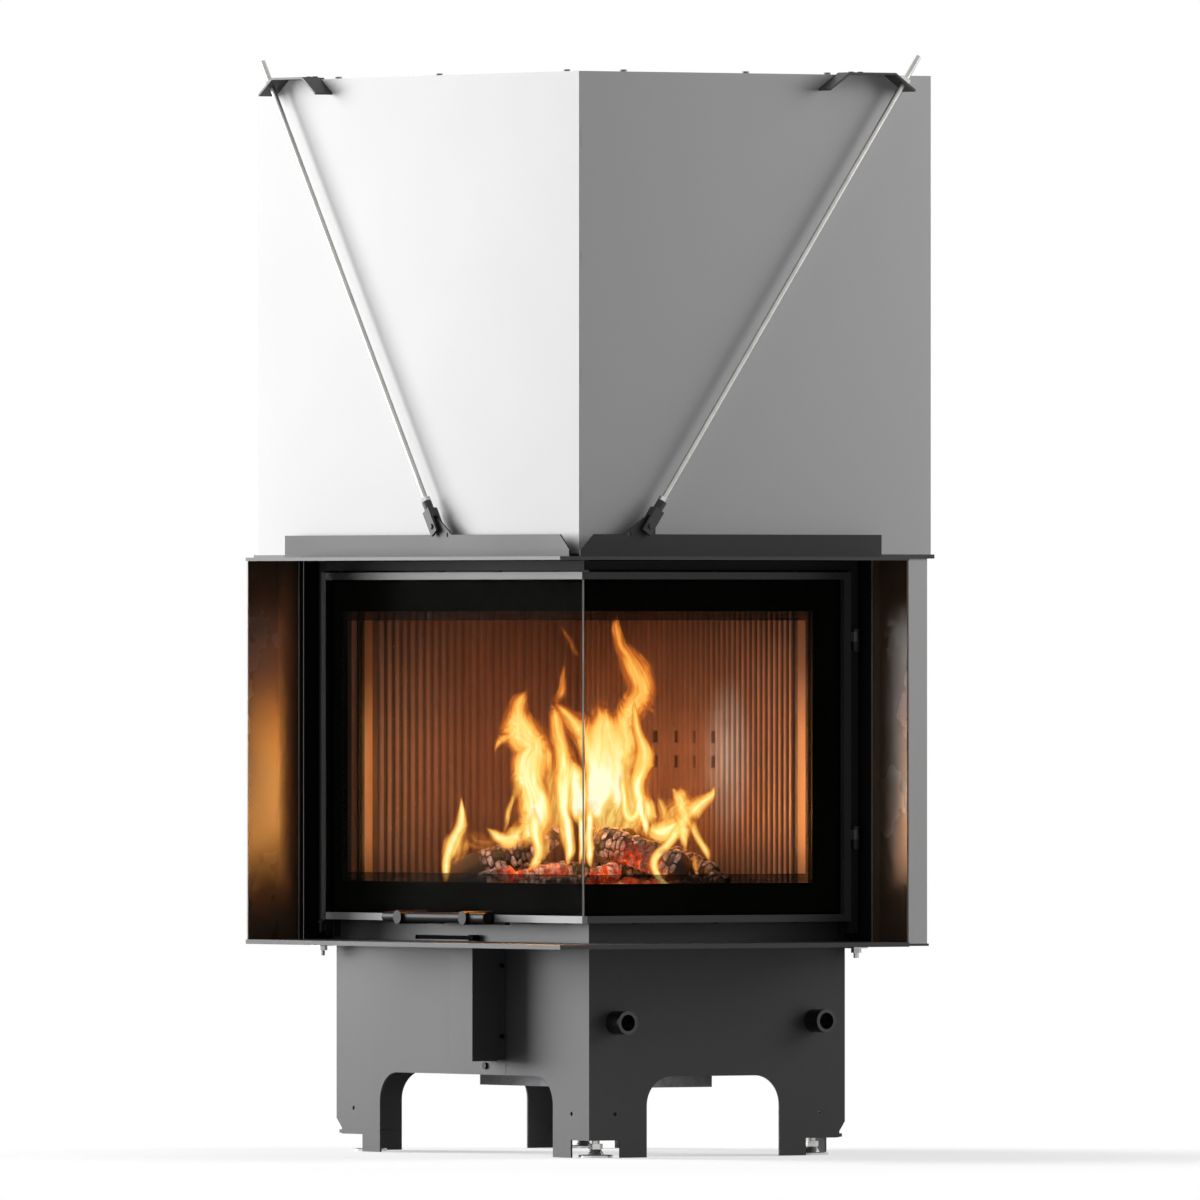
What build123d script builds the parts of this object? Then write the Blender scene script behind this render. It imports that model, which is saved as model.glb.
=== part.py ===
from build123d import *
import math
import os

os.makedirs("parts", exist_ok=True)

# Corner fireplace insert with a lift-up L-shaped glass door.
# Millimetres, +Z up. The long facade faces -Y and the short one faces +X.
# u is the inset from the casing's side plane towards -X, and v the inset from its front plane towards +Y.

# Overall: the two spans of the facade, and the casing that reaches past them over the wells
front_span = 719.0
side_span = 506.0
left_well_w = 112.0
rear_well_w = 101.0
casing_past_well = 5.0
casing_w = front_span + left_well_w + casing_past_well
casing_d = side_span + rear_well_w + casing_past_well
casing_top = 1555.0
flange_reach = 99.0
ledge_left = 13.0
ledge_back = 6.5
rod_past_top = 31.0
rod_tip_z = casing_top + rod_past_top
side_x = (casing_w + ledge_left - flange_reach) / 2
front_y = -(casing_d + ledge_back - flange_reach) / 2

# Clearances
running = 0.05
slack = 0.3

# Plinth
plinth_inset = 53.0
plinth_left_inset = 9.0
plinth_rear_inset = 8.0
plinth_w = front_span - plinth_left_inset - plinth_inset
plinth_d = side_span - plinth_rear_inset - plinth_inset
plinth_plate = 3.0
plinth_hem_z = 25.0
arch_z = 116.0
arch_r = 42.0
leg_w = 46.0
leg_setback = 47.0
side_leg_setback = 54.0
far_leg_setback = 68.0
left_leg_setback = 66.0
leg_hole_r = 3.0
leg_hole_inset = 45.0
leg_hole_z = 63.0
far_cut = 14.0
far_hem = 9.0
seam_from_corner = 214.0
seam_gap = 0.7
base_z = 301.0
base_plate_t = 3.5
base_inset = 2.0
foot_inset = 35.0
foot_disc_r = 25.0
foot_disc_t = 4.0
foot_cone_h = 8.0
foot_bolt_r = 6.0
foot_bolt_spare = 10.0
foot_travel = 40.0
foot_bracket_t = 5.0
foot_bracket_rise = 1.0

# Control cover on the plinth, air box and carrying sockets
cover_u = 266.0
cover_w = 58.0
cover_out = 59.0
cover_h = 164.5
cover_strip = 15.5
sheet = 1.5
air_box_w = 347.0
air_box_d = 171.0
air_box_u = 200.0
air_box_v = 195.0
air_box_z = 97.0
air_port_margin = 60.0
air_collar_r = 75.0
air_collar_z = 200.0
air_collar_out = 50.0
air_collar_rim = 10.0
air_collar_rim_t = 2.0
collar_wall = 2.0
socket_r = 16.85
socket_bore_r = 11.85
socket_out = 32.0
socket_in = 35.0
socket_z = 194.0
socket_v_front = 46.0
socket_v_rear = 54.0

# Facade frame
flange_sheet = 3.5
flange_lip = 6.5
lip_t = 2.0
top_flange_t = 2.5
opening_low = 308.0
opening_high = 859.5
ledge_z = 860.0
ledge_t = 6.0
wing_t = 3.0
wing_hem_end = 8.0
wing_hem_t = 1.5
stud_r = 4.0
stud_drop = 17.0
lug_half = 12.0
lug_t = 3.0

# Wells for the counterweights, below the ledge, and the rim that the ledge keeps round its cut-outs
well_front = 2.0
well_depth = 74.5
ledge_rim = 3.0

# Casing of the lift
casing_hem = 12.0
tab_count = 4
tab_pitch = 170.3
tab_from_top = 95.0
tab_h = 20.0
tab_v = 2.0
tab_w = 2.5

# Screws and rivets
cap_screw_margins = (43.0, 82.0)
cap_screws_mid = (373.0, 294.0)
screw_beside_bracket = (39.0, 14.0)
cap_screw_r = 5.0
cap_screw_h = 3.0
cap_screw_inset = 8.0
strip_screws_z = (172.0, 274.0)
strip_screw_r = 3.5
washer_screw_u = 320.0
washer_screw_z = 129.0
rivets_z = (449.0, 563.0, 677.0, 792.0)
rivet_v = 22.0
rivet_r = 3.0
rivet_h = 1.5

# Door leaf
door_face = 17.0
door_left_gap = 23.0
door_rear_gap = 22.0
door_front_len = front_span - door_left_gap - door_face
door_side_len = side_span - door_rear_gap - door_face
door_depth = 25.0
door_low = 337.0
door_h = 503.0
door_rail = 10.3
door_stile = 12.0
glass_setback = 10.0
glass_t = 4.0
glass_fit = 0.5
glass_edge = 6.0
corner_gap = 0.2
door_backing = 20.0
backing_gap = 1.0
hinge_u = 20.0
hinge_pin_r = 3.0
knuckle_r = 5.5
hinge_heights = (441.0, 726.0)
knuckle_h = 14.0
hinge_bolt_h = 4.0

# Handle
handle_u = 337.0
handle_pitch = 169.0
handle_post_r = 10.0
handle_bar_r = 7.5
handle_overhang = 47.0
handle_out = 50.0
handle_bar_back = 12.0
handle_z = 343.0
handle_foot_half = 37.5
handle_foot_h = 4.0
handle_foot_reach = 8.0

# Door carriage and its lift
post_w = 16.0
post_v = 27.0
post_d = 13.0
rail_w = 20.0
rail_end_gap = 1.0
rail_u = front_span - rail_end_gap - rail_w
rail_web = 2.0
rail_depth = 11.5
rail_above_floor = 7.5
rail_below_top = 15.0
rail_ends = (base_z + base_plate_t + rail_above_floor, casing_top - rail_below_top)
spacers_below_top = (555.0, 335.0, 115.0)
spacer_half = 15.0
roller_pin_r = 4.0
roller_w = 7.0
roller_gap = 1.5
roller_collar = 2.0
latch_past_post = 4.0
latch_v = 22.0
latch_z = (318.0, 333.0)
latch_r = 2.0
latch_reach = 6.0
roller_heights = (438.0, 800.0)
rope_r = 2.5
rope_v = 18.0
rope_beside_post = 16.0
pulley_run_r = 33.5
pulley_r = 38.0
pulley_w = 12.0
pulley_axle_r = 5.0
pulley_side_gap = 1.0
axle_collar = 3.0
axle_plate_half = 25.0
axle_plate_t = 2.0
pulley_low_z = 905.0
pulley_below_top = 50.0
pulley_high_z = casing_top - pulley_below_top
clamp_h = 20.0
clamp_half = 8.0
clamp_front = 7.0
clamp_rise = 7.0
weight_len = 500.0
weight_t = 26.0
weight_gap = 3.0
weight_back_gap = 5.0
weight_below_pulley = 22.0
left_weight_w = 100.0
rear_weight_w = 90.0

# Air slide
slot_u = 334.0
slot_len = 167.0
slot_low = 310.0
slot_h = 6.0
knob_w = 12.0
knob_h = 9.0
knob_out = 11.0
slide_travel = 150.0
slide_len = 200.0
slide_t = 3.0
slide_h = 34.0
slide_lead = 10.0
slide_drop = 0.5
guide_t = 3.0
guide_h = 4.0
guide_lap = 5.0
guide_lead = 20.0
tongue_margin = 1.5
tongue_reach = 3.0
tongue_gap = 1.0
knob_fillet = 2.0
port_pitch = 45.0
port_w = 26.0
port_start = 25.0
port_z = (12.0, 27.0)

# Firebox
face_plane = 52.0
face_t = 2.5
opening_bottom = 385.0
opening_top = 792.0
chamber_left = 69.0
chamber_rear = 66.0
chamber_w = front_span - chamber_left
chamber_d = side_span - chamber_rear
hearth_z = 380.0
hearth_t = 30.0
lining_t = 38.0
lining_top = 805.0
rib_pitch = 13.5
rib_depth = 4.0
jamb_flat = 35.0
left_jamb_flat = 22.5
lining_gap = 1.5
back_ports_u = (300.0, 350.0, 400.0, 450.0)
back_ports_z = (566.0, 602.0)
back_port_half = 4.0
back_port_half_h = 8.0
baffle_t = 25.0
baffle_u = 150.0
baffle_v = 120.0
firebox_wall = 4.0
lower_wall = 3.0
body_gap = 0.5
shelf_t = 5.0
hearth_gap = 4.0
hearth_far_gap = 2.0
seal_near = 4.0
seal_w = 10.0
seal_drop = 6.0
hood_foot = 1000.0
hood_head = 1225.0
hood_wall = 3.0
collar_seat = 10.0
hood_gap = 2.0
flue_r = 90.0
flue_h = 100.0

# Lintel angles, tension rods and their brackets
lintel_out = 16.0
lintel_h = 32.0
lintel_t = 2.5
lintel_low = 862.0
front_lintel_past = 21.0
side_lintel_past = 17.0
front_lintel_len = front_span + front_lintel_past
side_lintel_len = side_span + side_lintel_past
ear_w = 55.0
ear_h = 23.7
front_lintel_start = -2.0
side_lintel_start = -10.0
lintel_cut = (24.0, 22.0)
ear_cut = 6.0
ear_slope = 8.0
ear_hole_r = 3.25
ear_hole_back = 33.0
pin_rise = 12.0
front_pin_u = 344.0
side_pin_v = 107.5
front_tip_in = 37.0
side_tip_in = 33.0
front_tip_u = casing_w - front_tip_in
side_tip_v = casing_d - side_tip_in
rod_r = 4.0
clevis_side = 16.0
clevis_slot = 8.0
clevis_tail = 12.0
clevis_body = 28.0
clevis_neck_r = 7.0
clevis_len = 42.0
clevis_slot_end = 14.0
pin_head = 2.0
rod_hold = 4.0
nut_flat = 13.0
nut_h = 6.5
washer_r = 8.0
washer_t = 1.6
bracket_w = 30.0
bracket_web = 80.0
bracket_t = 3.0
bracket_arm = 42.0
bracket_tab_margin = 24.0
bracket_tab_reach = 25.0
bracket_screw_in = 32.0
bracket_screw_v = 14.0
bracket_screw_r = 4.0
bracket_screw_h = 2.0
bracket_beside_rod = (123.0, 129.0)
front_bracket_u = front_tip_u - bracket_beside_rod[0]
side_bracket_v = side_tip_v - bracket_beside_rod[1]

# Places that follow from the sizes above
plinth_far_u = plinth_inset + plinth_w
plinth_far_v = plinth_inset + plinth_d
floor_z = base_z + base_plate_t
flange_top = floor_z + flange_sheet
ledge_top = ledge_z + ledge_t
cap_top = casing_top + sheet
door_end_u = door_face + door_front_len
door_end_v = door_face + door_side_len
door_back = door_face + door_depth
door_top = door_low + door_h
glass_v = door_face + glass_setback
post_u = rail_u + (rail_w - post_w) / 2
post_end_v = post_u - (front_span - side_span)
latch_u = post_u + latch_past_post
hinge_v = post_end_v + 7.0
carriage_low = 320.0
carriage_rail_low = door_top + 3.0
carriage_rail_top = ledge_z - 4.0
clamp_z = pulley_low_z + pulley_r + clamp_rise
corner_shift = front_span - side_span
lintel_face = -lintel_out - lintel_t
pin_z = lintel_low + lintel_h + pin_rise
mitre = Plane(origin=(side_x, front_y, 0), z_dir=(1, 1, 0))


def at(u, v, z):
    """Point from its inset behind the side plane, its inset behind the front plane and its height."""
    return Vector(side_x - u, front_y + v, z)


def block(u, v, z):
    """Box between two side insets, two front insets and two heights."""
    low = at(max(u), min(v), min(z))
    size = (max(u) - min(u), max(v) - min(v), max(z) - min(z))
    return Pos(low.X, low.Y, low.Z) * Box(*size, align=(Align.MIN, Align.MIN, Align.MIN))


def bar(start, end, radius):
    """Round bar between two points."""
    along = end - start
    plane = Plane(origin=start, z_dir=along)
    return plane * Cylinder(radius, along.length, align=(Align.CENTER, Align.CENTER, Align.MIN))


def pipe(start, end, radius, bore):
    """Round tube between two points."""
    return bar(start, end, radius) - bar(start, end, bore)


def hexagon(start, end, flat, bore=0.0):
    """Hexagonal nut or bolt head between two points."""
    along = end - start
    sketch = RegularPolygon(flat / 2, 6, major_radius=False)
    if bore:
        sketch -= Circle(bore)
    return extrude(Plane(origin=start, z_dir=along) * sketch, amount=along.length)


def mirrored(part):
    """The same piece on the other facade: the two facades mirror each other about the corner's mitre."""
    return part.mirror(mitre)


def front_sheet(v, thickness, points):
    """Sheet parallel to the front, from its outline as side insets and heights."""
    plane = Plane(origin=(side_x, front_y + v, 0), x_dir=(-1, 0, 0), z_dir=(0, 1, 0))
    return extrude(plane * make_face(Polyline(*points, close=True)), amount=thickness)


def solids(part):
    return list(part.solids())


def write(name, *parts):
    """One file per sub-part; several separate solids go in as a group."""
    pieces = [s for part in parts for s in solids(part)]
    shape = pieces[0] if len(pieces) == 1 else Compound(pieces)
    shape.label = name
    export_step(shape, f"parts/{name}.step")


# Plinth: bent plates with an arch between two legs on each side
def plinth_plate_at(v, length, near_leg, far_leg):
    """A plate from the near corner, with its two legs on the floor, an arch and a cut far corner."""
    near = plinth_inset + near_leg
    far = plinth_inset + length - far_leg
    end = plinth_inset + length
    points = [
        (plinth_inset, base_z), (plinth_inset, plinth_hem_z), (near, plinth_hem_z), (near, 0),
        (near + leg_w, 0), (near + leg_w, arch_z), (far - leg_w, arch_z), (far - leg_w, 0),
        (far, 0), (far, plinth_hem_z), (end - far_cut, plinth_hem_z),
        (end - far_cut, plinth_hem_z + far_hem), (end, plinth_hem_z + far_hem + far_cut), (end, base_z),
    ]
    plate = front_sheet(v, plinth_plate, points)
    crown = [e for e in plate.edges().filter_by(Axis.Y) if abs(e.center().Z - arch_z) < 0.01]
    plate = fillet(crown, arch_r)
    for s in (plinth_inset + leg_hole_inset, end - leg_hole_inset):
        plate -= bar(at(s, v, leg_hole_z), at(s, v + plinth_plate, leg_hole_z), leg_hole_r)
    return plate


def corner_relief(far_face):
    """Cut in a plate's near corner, to match the cut far corner of the plate that it meets."""
    side = plinth_inset + far_cut
    low = plinth_hem_z + far_hem
    points = [(0, 0), (side, 0), (side, low), (plinth_inset, low + far_cut), (0, low + far_cut)]
    return front_sheet(far_face - plinth_plate, plinth_plate, points)


def foot_seat(u, v):
    """Bracket inside a plinth corner, with the threaded hole of a levelling foot."""
    half_u = foot_inset - plinth_plate
    low = plinth_hem_z + foot_bracket_rise
    high = low + foot_bracket_t
    plate = block((u - half_u, u + half_u), (v - half_u, v + half_u), (low, high))
    return plate - bar(at(u, v, low), at(u, v, high), foot_bolt_r + running)


foot_u = (plinth_inset + foot_inset, plinth_far_u - foot_inset)
foot_v = (plinth_inset + foot_inset, plinth_far_v - foot_inset)
seam_u = plinth_inset + seam_from_corner
socket_v = (plinth_inset + socket_v_front, plinth_far_v - socket_v_rear)
socket_hole_r = socket_r + running
sockets = []
socket_holes = []
for v in socket_v:
    for start, end in ((plinth_inset - socket_out, plinth_inset + socket_in),
                       (plinth_far_u - socket_in, plinth_far_u + socket_out)):
        sockets.append(pipe(at(start, v, socket_z), at(end, v, socket_z), socket_r, socket_bore_r))
        socket_holes.append(bar(at(start, v, socket_z), at(end, v, socket_z), socket_hole_r))

front_plate = plinth_plate_at(plinth_inset, plinth_w, leg_setback, far_leg_setback)
side_plate = mirrored(plinth_plate_at(plinth_inset, plinth_d, side_leg_setback, far_leg_setback))
near_half = block((0, seam_u), (0, plinth_far_v), (0, base_z))
corner_panel = front_plate & near_half
corner_panel += side_plate
corner_panel += foot_seat(foot_u[0], foot_v[0])
front_panel = front_plate - block((0, seam_u + seam_gap), (0, plinth_far_v), (0, base_z))
front_panel += foot_seat(foot_u[1], foot_v[0])

air_box_mid_u = air_box_u + air_box_w / 2
air_collar_end = at(air_box_mid_u, plinth_far_v + air_collar_out, air_collar_z)
air_collar_start = at(air_box_mid_u, air_box_v + air_box_d - sheet, air_collar_z)
rear_shift = Pos(0, plinth_d - plinth_plate, 0)
left_shift = Pos(-(plinth_w - plinth_plate), 0, 0)
inside = block((plinth_inset + plinth_plate, plinth_far_u), (plinth_inset + plinth_plate, plinth_far_v),
               (0, base_z))
left_plate = mirrored(plinth_plate_at(plinth_inset, plinth_d, left_leg_setback, left_leg_setback))
rear_panel = (rear_shift * front_plate + left_shift * left_plate) & inside
rear_panel -= corner_relief(plinth_far_v)
rear_panel -= mirrored(corner_relief(plinth_far_u))
rear_panel += foot_seat(foot_u[1], foot_v[1])
rear_panel += foot_seat(foot_u[0], foot_v[1])
rear_panel -= bar(air_collar_start, air_collar_end, air_collar_r + slack)
for hole in socket_holes:
    corner_panel -= hole
    rear_panel -= hole
write("plinth_corner_panel", corner_panel)
write("plinth_front_panel", front_panel)
write("plinth_rear_panel", rear_panel)
write("carrying_sockets", *sockets)


# Levelling feet
def levelling_foot(u, v):
    """Disc with a cone, a hexagon and a threaded bolt, standing on the floor."""
    cone_top = foot_disc_t + foot_cone_h
    hexagon_top = cone_top + foot_cone_h
    bolt_top = plinth_hem_z + foot_bracket_t + foot_travel + foot_bolt_spare
    profile = [(0, 0), (foot_disc_r, 0), (foot_disc_r, foot_disc_t - 1), (foot_disc_r - 1, foot_disc_t),
               (foot_disc_r / 2, foot_disc_t), (foot_bolt_r + 2, cone_top), (foot_bolt_r, cone_top),
               (foot_bolt_r, bolt_top - 1), (foot_bolt_r - 1, bolt_top), (0, bolt_top)]
    foot = revolve(Plane.XZ * make_face(Polyline(*profile, close=True)), Axis.Z)
    foot += hexagon(Vector(0, 0, cone_top), Vector(0, 0, hexagon_top), foot_bolt_r * 3)
    place = at(u, v, 0)
    return Pos(place.X, place.Y, 0) * foot


foot_names = {
    "levelling_foot_front_right": (foot_u[0], foot_v[0]),
    "levelling_foot_front_left": (foot_u[1], foot_v[0]),
    "levelling_foot_rear_right": (foot_u[0], foot_v[1]),
    "levelling_foot_rear_left": (foot_u[1], foot_v[1]),
}
for name, (u, v) in foot_names.items():
    write(name, levelling_foot(u, v))

# Control cover on the plinth, a sheet box on a recessed base strip
cover_low = base_z - cover_h
cover_front = plinth_inset - cover_out
strip_v = plinth_inset - cover_strip
cover = block((cover_u, cover_u + cover_w), (cover_front, strip_v), (cover_low, base_z))
cover -= block((cover_u + sheet, cover_u + cover_w - sheet), (cover_front + sheet, strip_v),
               (cover_low + sheet, base_z - sheet))
strip = block((cover_u + sheet, cover_u + cover_w - sheet), (strip_v, plinth_inset),
              (cover_low + sheet, base_z))
strip -= block((cover_u + 3 * sheet, cover_u + cover_w - 3 * sheet), (strip_v, plinth_inset),
               (cover_low + 3 * sheet, base_z - 2 * sheet))
write("control_cover", cover, strip)

# Air box in the plinth with its rear collar
air_box_u1 = air_box_u + air_box_w
air_box_v1 = air_box_v + air_box_d
air_box = block((air_box_u, air_box_u1), (air_box_v, air_box_v1), (air_box_z, base_z))
air_box -= block((air_box_u + sheet, air_box_u1 - sheet), (air_box_v + sheet, air_box_v1 - sheet),
                 (air_box_z + sheet, base_z))
air_box -= bar(air_collar_start, air_collar_end, air_collar_r)
write("air_box", air_box)
air_collar = pipe(air_collar_start, air_collar_end, air_collar_r, air_collar_r - collar_wall)
rim_start = at(air_box_mid_u, plinth_far_v, air_collar_z)
rim_end = at(air_box_mid_u, plinth_far_v + air_collar_rim_t, air_collar_z)
air_collar += pipe(rim_start, rim_end, air_collar_r + air_collar_rim, air_collar_r - collar_wall)
write("air_inlet_collar", air_collar)

# Base plate with the air port over the air box
base_plate = block((base_inset, casing_w - base_inset), (base_inset, casing_d - base_inset),
                   (base_z, floor_z))
base_plate -= block((air_box_u + air_port_margin, air_box_u1 - air_port_margin),
                    (air_box_v + air_port_margin / 2, air_box_v1 - air_port_margin / 2), (base_z, floor_z))


# Facade frame: lower and upper L flanges with a folded lip, and two wings between them
def l_plate(reach, inner, z):
    """L-shaped plate along both facades, from its outer edge to its inner edge."""
    plate = block((-reach, front_span), (-reach, inner), z)
    return plate + block((-reach, inner), (-reach, side_span), z)


def l_lip(reach, thickness, z):
    """Lip along the outer edge of both facades."""
    lip = block((-reach, front_span), (-reach, thickness - reach), z)
    return lip + block((-reach, thickness - reach), (-reach, side_span), z)


bottom_flange = l_plate(flange_reach, face_plane, (floor_z, flange_top))
bottom_flange += l_lip(flange_reach, lip_t, (flange_top - flange_lip, flange_top))
lugs = []
studs = []
for u, v in ((front_span - 6, 30.0), (30.0, side_span - 4)):
    lug_low = base_z - lug_t
    lug = block((u - lug_half, u + lug_half), (v - lug_half, v + lug_half), (lug_low, base_z))
    hole = bar(at(u, v, lug_low), at(u, v, flange_top), stud_r + running)
    base_plate -= hole
    bottom_flange -= hole
    lugs.append(lug - hole)
    stud = bar(at(u, v, base_z - stud_drop), at(u, v, flange_top), stud_r)
    stud += hexagon(at(u, v, lug_low - nut_h), at(u, v, lug_low), nut_flat)
    studs.append(stud)
write("base_plate", base_plate)
write("bottom_flange", bottom_flange)
write("flange_studs", *lugs, *studs)

top_flange_high = opening_high + top_flange_t
top_flange = l_plate(flange_reach, 0, (opening_high, top_flange_high))
top_flange += l_lip(flange_reach, lip_t, (opening_high - top_flange_t, top_flange_high))
write("top_flange", top_flange)
wing_out = flange_reach - lip_t
wing_z = (flange_top, opening_high)
left_wing = block((front_span - wing_t, front_span), (-wing_out, -wing_hem_end), wing_z)
left_wing += block((front_span - wing_hem_t, front_span), (-wing_hem_end, 0), wing_z)
rear_wing = block((-wing_out, -wing_hem_end), (side_span - wing_t, side_span), wing_z)
rear_wing += block((-wing_hem_end, 0), (side_span - wing_hem_t, side_span), wing_z)
write("left_wing", left_wing)
write("rear_wing", rear_wing)


# Counterweight wells below the ledge
def well(length, start):
    """Rectangular sheet duct along the front facade, from its start inset."""
    outer = block((start, start + length), (well_front, well_depth), (floor_z, ledge_z))
    inner_v = (well_front + sheet, well_depth - sheet)
    return outer - block((start + sheet, start + length - sheet), inner_v, (floor_z, ledge_z))


write("left_well", well(left_well_w, front_span))
write("rear_well", mirrored(well(rear_well_w, side_span)))

# Support ledge: one plate with the door slot, the two wells and the firebox cut out
ledge = block((0, casing_w + ledge_left), (0, casing_d + ledge_back), (ledge_z, ledge_top))
ledge -= block((ledge_rim, front_span + left_well_w - sheet), (ledge_rim, face_plane), (ledge_z, ledge_top))
ledge -= block((ledge_rim, face_plane), (ledge_rim, side_span + rear_well_w - sheet), (ledge_z, ledge_top))
ledge -= block((front_span + sheet, front_span + left_well_w - sheet), (ledge_rim, well_depth - sheet),
               (ledge_z, ledge_top))
ledge -= block((ledge_rim, well_depth - sheet), (side_span + sheet, side_span + rear_well_w - sheet),
               (ledge_z, ledge_top))
hood_u = (well_depth + hood_gap, plinth_far_u - firebox_wall)
hood_v = (well_depth + hood_gap, plinth_far_v - firebox_wall)
hood_bore_u = (hood_u[0] + hood_wall, hood_u[1] - hood_wall)
hood_bore_v = (hood_v[0] + hood_wall, hood_v[1] - hood_wall)
ledge -= block(hood_bore_u, hood_bore_v, (ledge_z, ledge_top))
write("support_ledge", ledge)

# Casing of the lift: front and side panels, inner wall and cap
front_casing = block((sheet, casing_w), (0, sheet), (ledge_top, casing_top))
front_casing += block((casing_w - sheet, casing_w), (sheet, well_depth), (ledge_top, casing_top))
front_casing += block((sheet, casing_w - sheet), (sheet, casing_hem), (casing_top - sheet, casing_top))
front_casing += block((sheet, 2 * sheet), (sheet, casing_hem), (ledge_top, casing_top))
side_casing = block((0, sheet), (0, casing_d), (ledge_top, casing_top))
side_casing += block((sheet, well_depth), (casing_d - sheet, casing_d), (ledge_top, casing_top))
side_casing += block((sheet, casing_hem), (casing_hem, casing_d - sheet), (casing_top - sheet, casing_top))
for step in range(tab_count):
    z = casing_top - tab_from_top - step * tab_pitch
    tab = block((0, sheet), (tab_v, tab_v + tab_w), (z - tab_h / 2, z + tab_h / 2))
    slot = block((0, sheet), (tab_v - slack, tab_v + tab_w + slack),
                 (z - tab_h / 2 - slack, z + tab_h / 2 + slack))
    side_casing -= slot
    front_casing += tab
inner_v = (well_depth - sheet, well_depth)
inner_wall = block((inner_v[0], casing_w - sheet), inner_v, (ledge_top, casing_top))
inner_wall += block(inner_v, (well_depth, casing_d - sheet), (ledge_top, casing_top))
cap = block((0, casing_w), (0, well_depth), (casing_top, cap_top))
cap += block((0, well_depth), (0, casing_d), (casing_top, cap_top))
write("casing_front_panel", front_casing)
write("casing_side_panel", side_casing)
write("casing_inner_wall", inner_wall)
write("casing_cap", cap)

# Screws on the cap and the plinth, rivets in the door channel
cap_screw_top = cap_top + cap_screw_h
cap_screws_u = (cap_screw_margins[0], cap_screws_mid[0], front_bracket_u - screw_beside_bracket[0])
cap_screws_v = (cap_screw_margins[1], cap_screws_mid[1], side_bracket_v - screw_beside_bracket[1])
screws = []
for u in cap_screws_u:
    screws.append(bar(at(u, cap_screw_inset, cap_top), at(u, cap_screw_inset, cap_screw_top), cap_screw_r))
for v in cap_screws_v:
    screws.append(bar(at(cap_screw_inset, v, cap_top), at(cap_screw_inset, v, cap_screw_top), cap_screw_r))
strip_screw_v = plinth_inset - cover_strip / 2
for z in strip_screws_z:
    screws.append(bar(at(cover_u + sheet, strip_screw_v, z), at(cover_u - sheet, strip_screw_v, z),
                      strip_screw_r))
screws.append(bar(at(washer_screw_u, plinth_inset, washer_screw_z),
                  at(washer_screw_u, plinth_inset - cap_screw_h, washer_screw_z), cap_screw_r))
for z in rivets_z:
    rivet = bar(at(front_span, rivet_v, z), at(front_span - rivet_h, rivet_v, z), rivet_r)
    screws.append(rivet)
    screws.append(mirrored(Pos(corner_shift, 0, 0) * rivet))
write("casing_screws", *screws)


# Guide rails: open channels that the carriage's rollers run in
def guide_rail():
    """Channel behind the far post of the front facade, with spacers to the casing's inner wall."""
    back = face_plane
    rail = block((rail_u, rail_u + rail_w), (back - rail_depth, back), rail_ends)
    rail -= block((post_u, post_u + post_w), (back - rail_depth, back - rail_web), rail_ends)
    for drop in spacers_below_top:
        z = casing_top - drop
        rail += block((rail_u, rail_u + rail_w), (back, well_depth - sheet),
                      (z - spacer_half, z + spacer_half))
    return rail


to_rear = Pos(corner_shift, 0, 0)
write("guide_rails", guide_rail(), mirrored(to_rear * guide_rail()))


# Lift: pulleys, closed rope loops and counterweights, for the front facade's far end
rope_u = post_u + post_w / 2 + rope_beside_post
pulley_u = rope_u + pulley_run_r
weight_run_u = pulley_u + pulley_run_r
weight_v = well_depth - sheet - weight_back_gap - weight_t


def pulley(z):
    """Grooved wheel with a bore for its axle."""
    groove = rope_r + slack
    half = pulley_w / 2
    bore = pulley_axle_r + running
    profile = [(bore, -half), (pulley_r, -half), (pulley_r, half), (bore, half)]
    wheel = revolve(Plane.XZ * make_face(Polyline(*profile, close=True)), Axis.Z)
    wheel -= Torus(pulley_run_r, groove)
    ring = Circle(pulley_r + 1) - Circle(pulley_run_r)
    wheel -= Pos(0, 0, -groove) * extrude(ring, amount=2 * groove)
    centre = at(pulley_u, rope_v, z)
    return Plane(origin=centre, z_dir=(0, 1, 0)) * wheel


def pulley_bracket(z):
    """Axle on a plate inside the casing's outer panel, with a collar each side of the pulley."""
    near_side = rope_v - pulley_w / 2 - pulley_side_gap
    far_side = rope_v + pulley_w / 2 + pulley_side_gap
    axle_end = far_side + axle_collar
    plate_v = (sheet, sheet + axle_plate_t)
    plate = block((pulley_u - axle_plate_half, pulley_u + axle_plate_half), plate_v,
                  (z - axle_plate_half, z + axle_plate_half))
    axle = bar(at(pulley_u, sheet, z), at(pulley_u, axle_end, z), pulley_axle_r)
    inner = bar(at(pulley_u, plate_v[1], z), at(pulley_u, near_side, z), pulley_axle_r + axle_collar)
    outer = bar(at(pulley_u, far_side, z), at(pulley_u, axle_end, z), pulley_axle_r + axle_collar)
    return plate + axle + inner + outer


def rope_loop():
    """Endless rope round the upper and lower pulley."""
    span = pulley_high_z - pulley_low_z
    run = extrude(Circle(rope_r), amount=span)
    arc = revolve(Pos(pulley_run_r, 0, 0) * Circle(rope_r), Axis.Y, 180)
    shape = Pos(-pulley_run_r, 0, 0) * run + Pos(pulley_run_r, 0, 0) * run + arc
    shape += Pos(0, 0, span) * arc.mirror(Plane.XY)
    place = at(pulley_u, rope_v, pulley_low_z)
    return Pos(place.X, place.Y, place.Z) * shape


def rope_clamp(reach, u, z, back):
    """Block that the rope runs through, on an arm to what it moves."""
    arm = block(reach, (rope_v - clamp_front, back), (z, z + clamp_h))
    return arm - bar(at(u, rope_v, z), at(u, rope_v, z + clamp_h), rope_r + slack)


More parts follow.
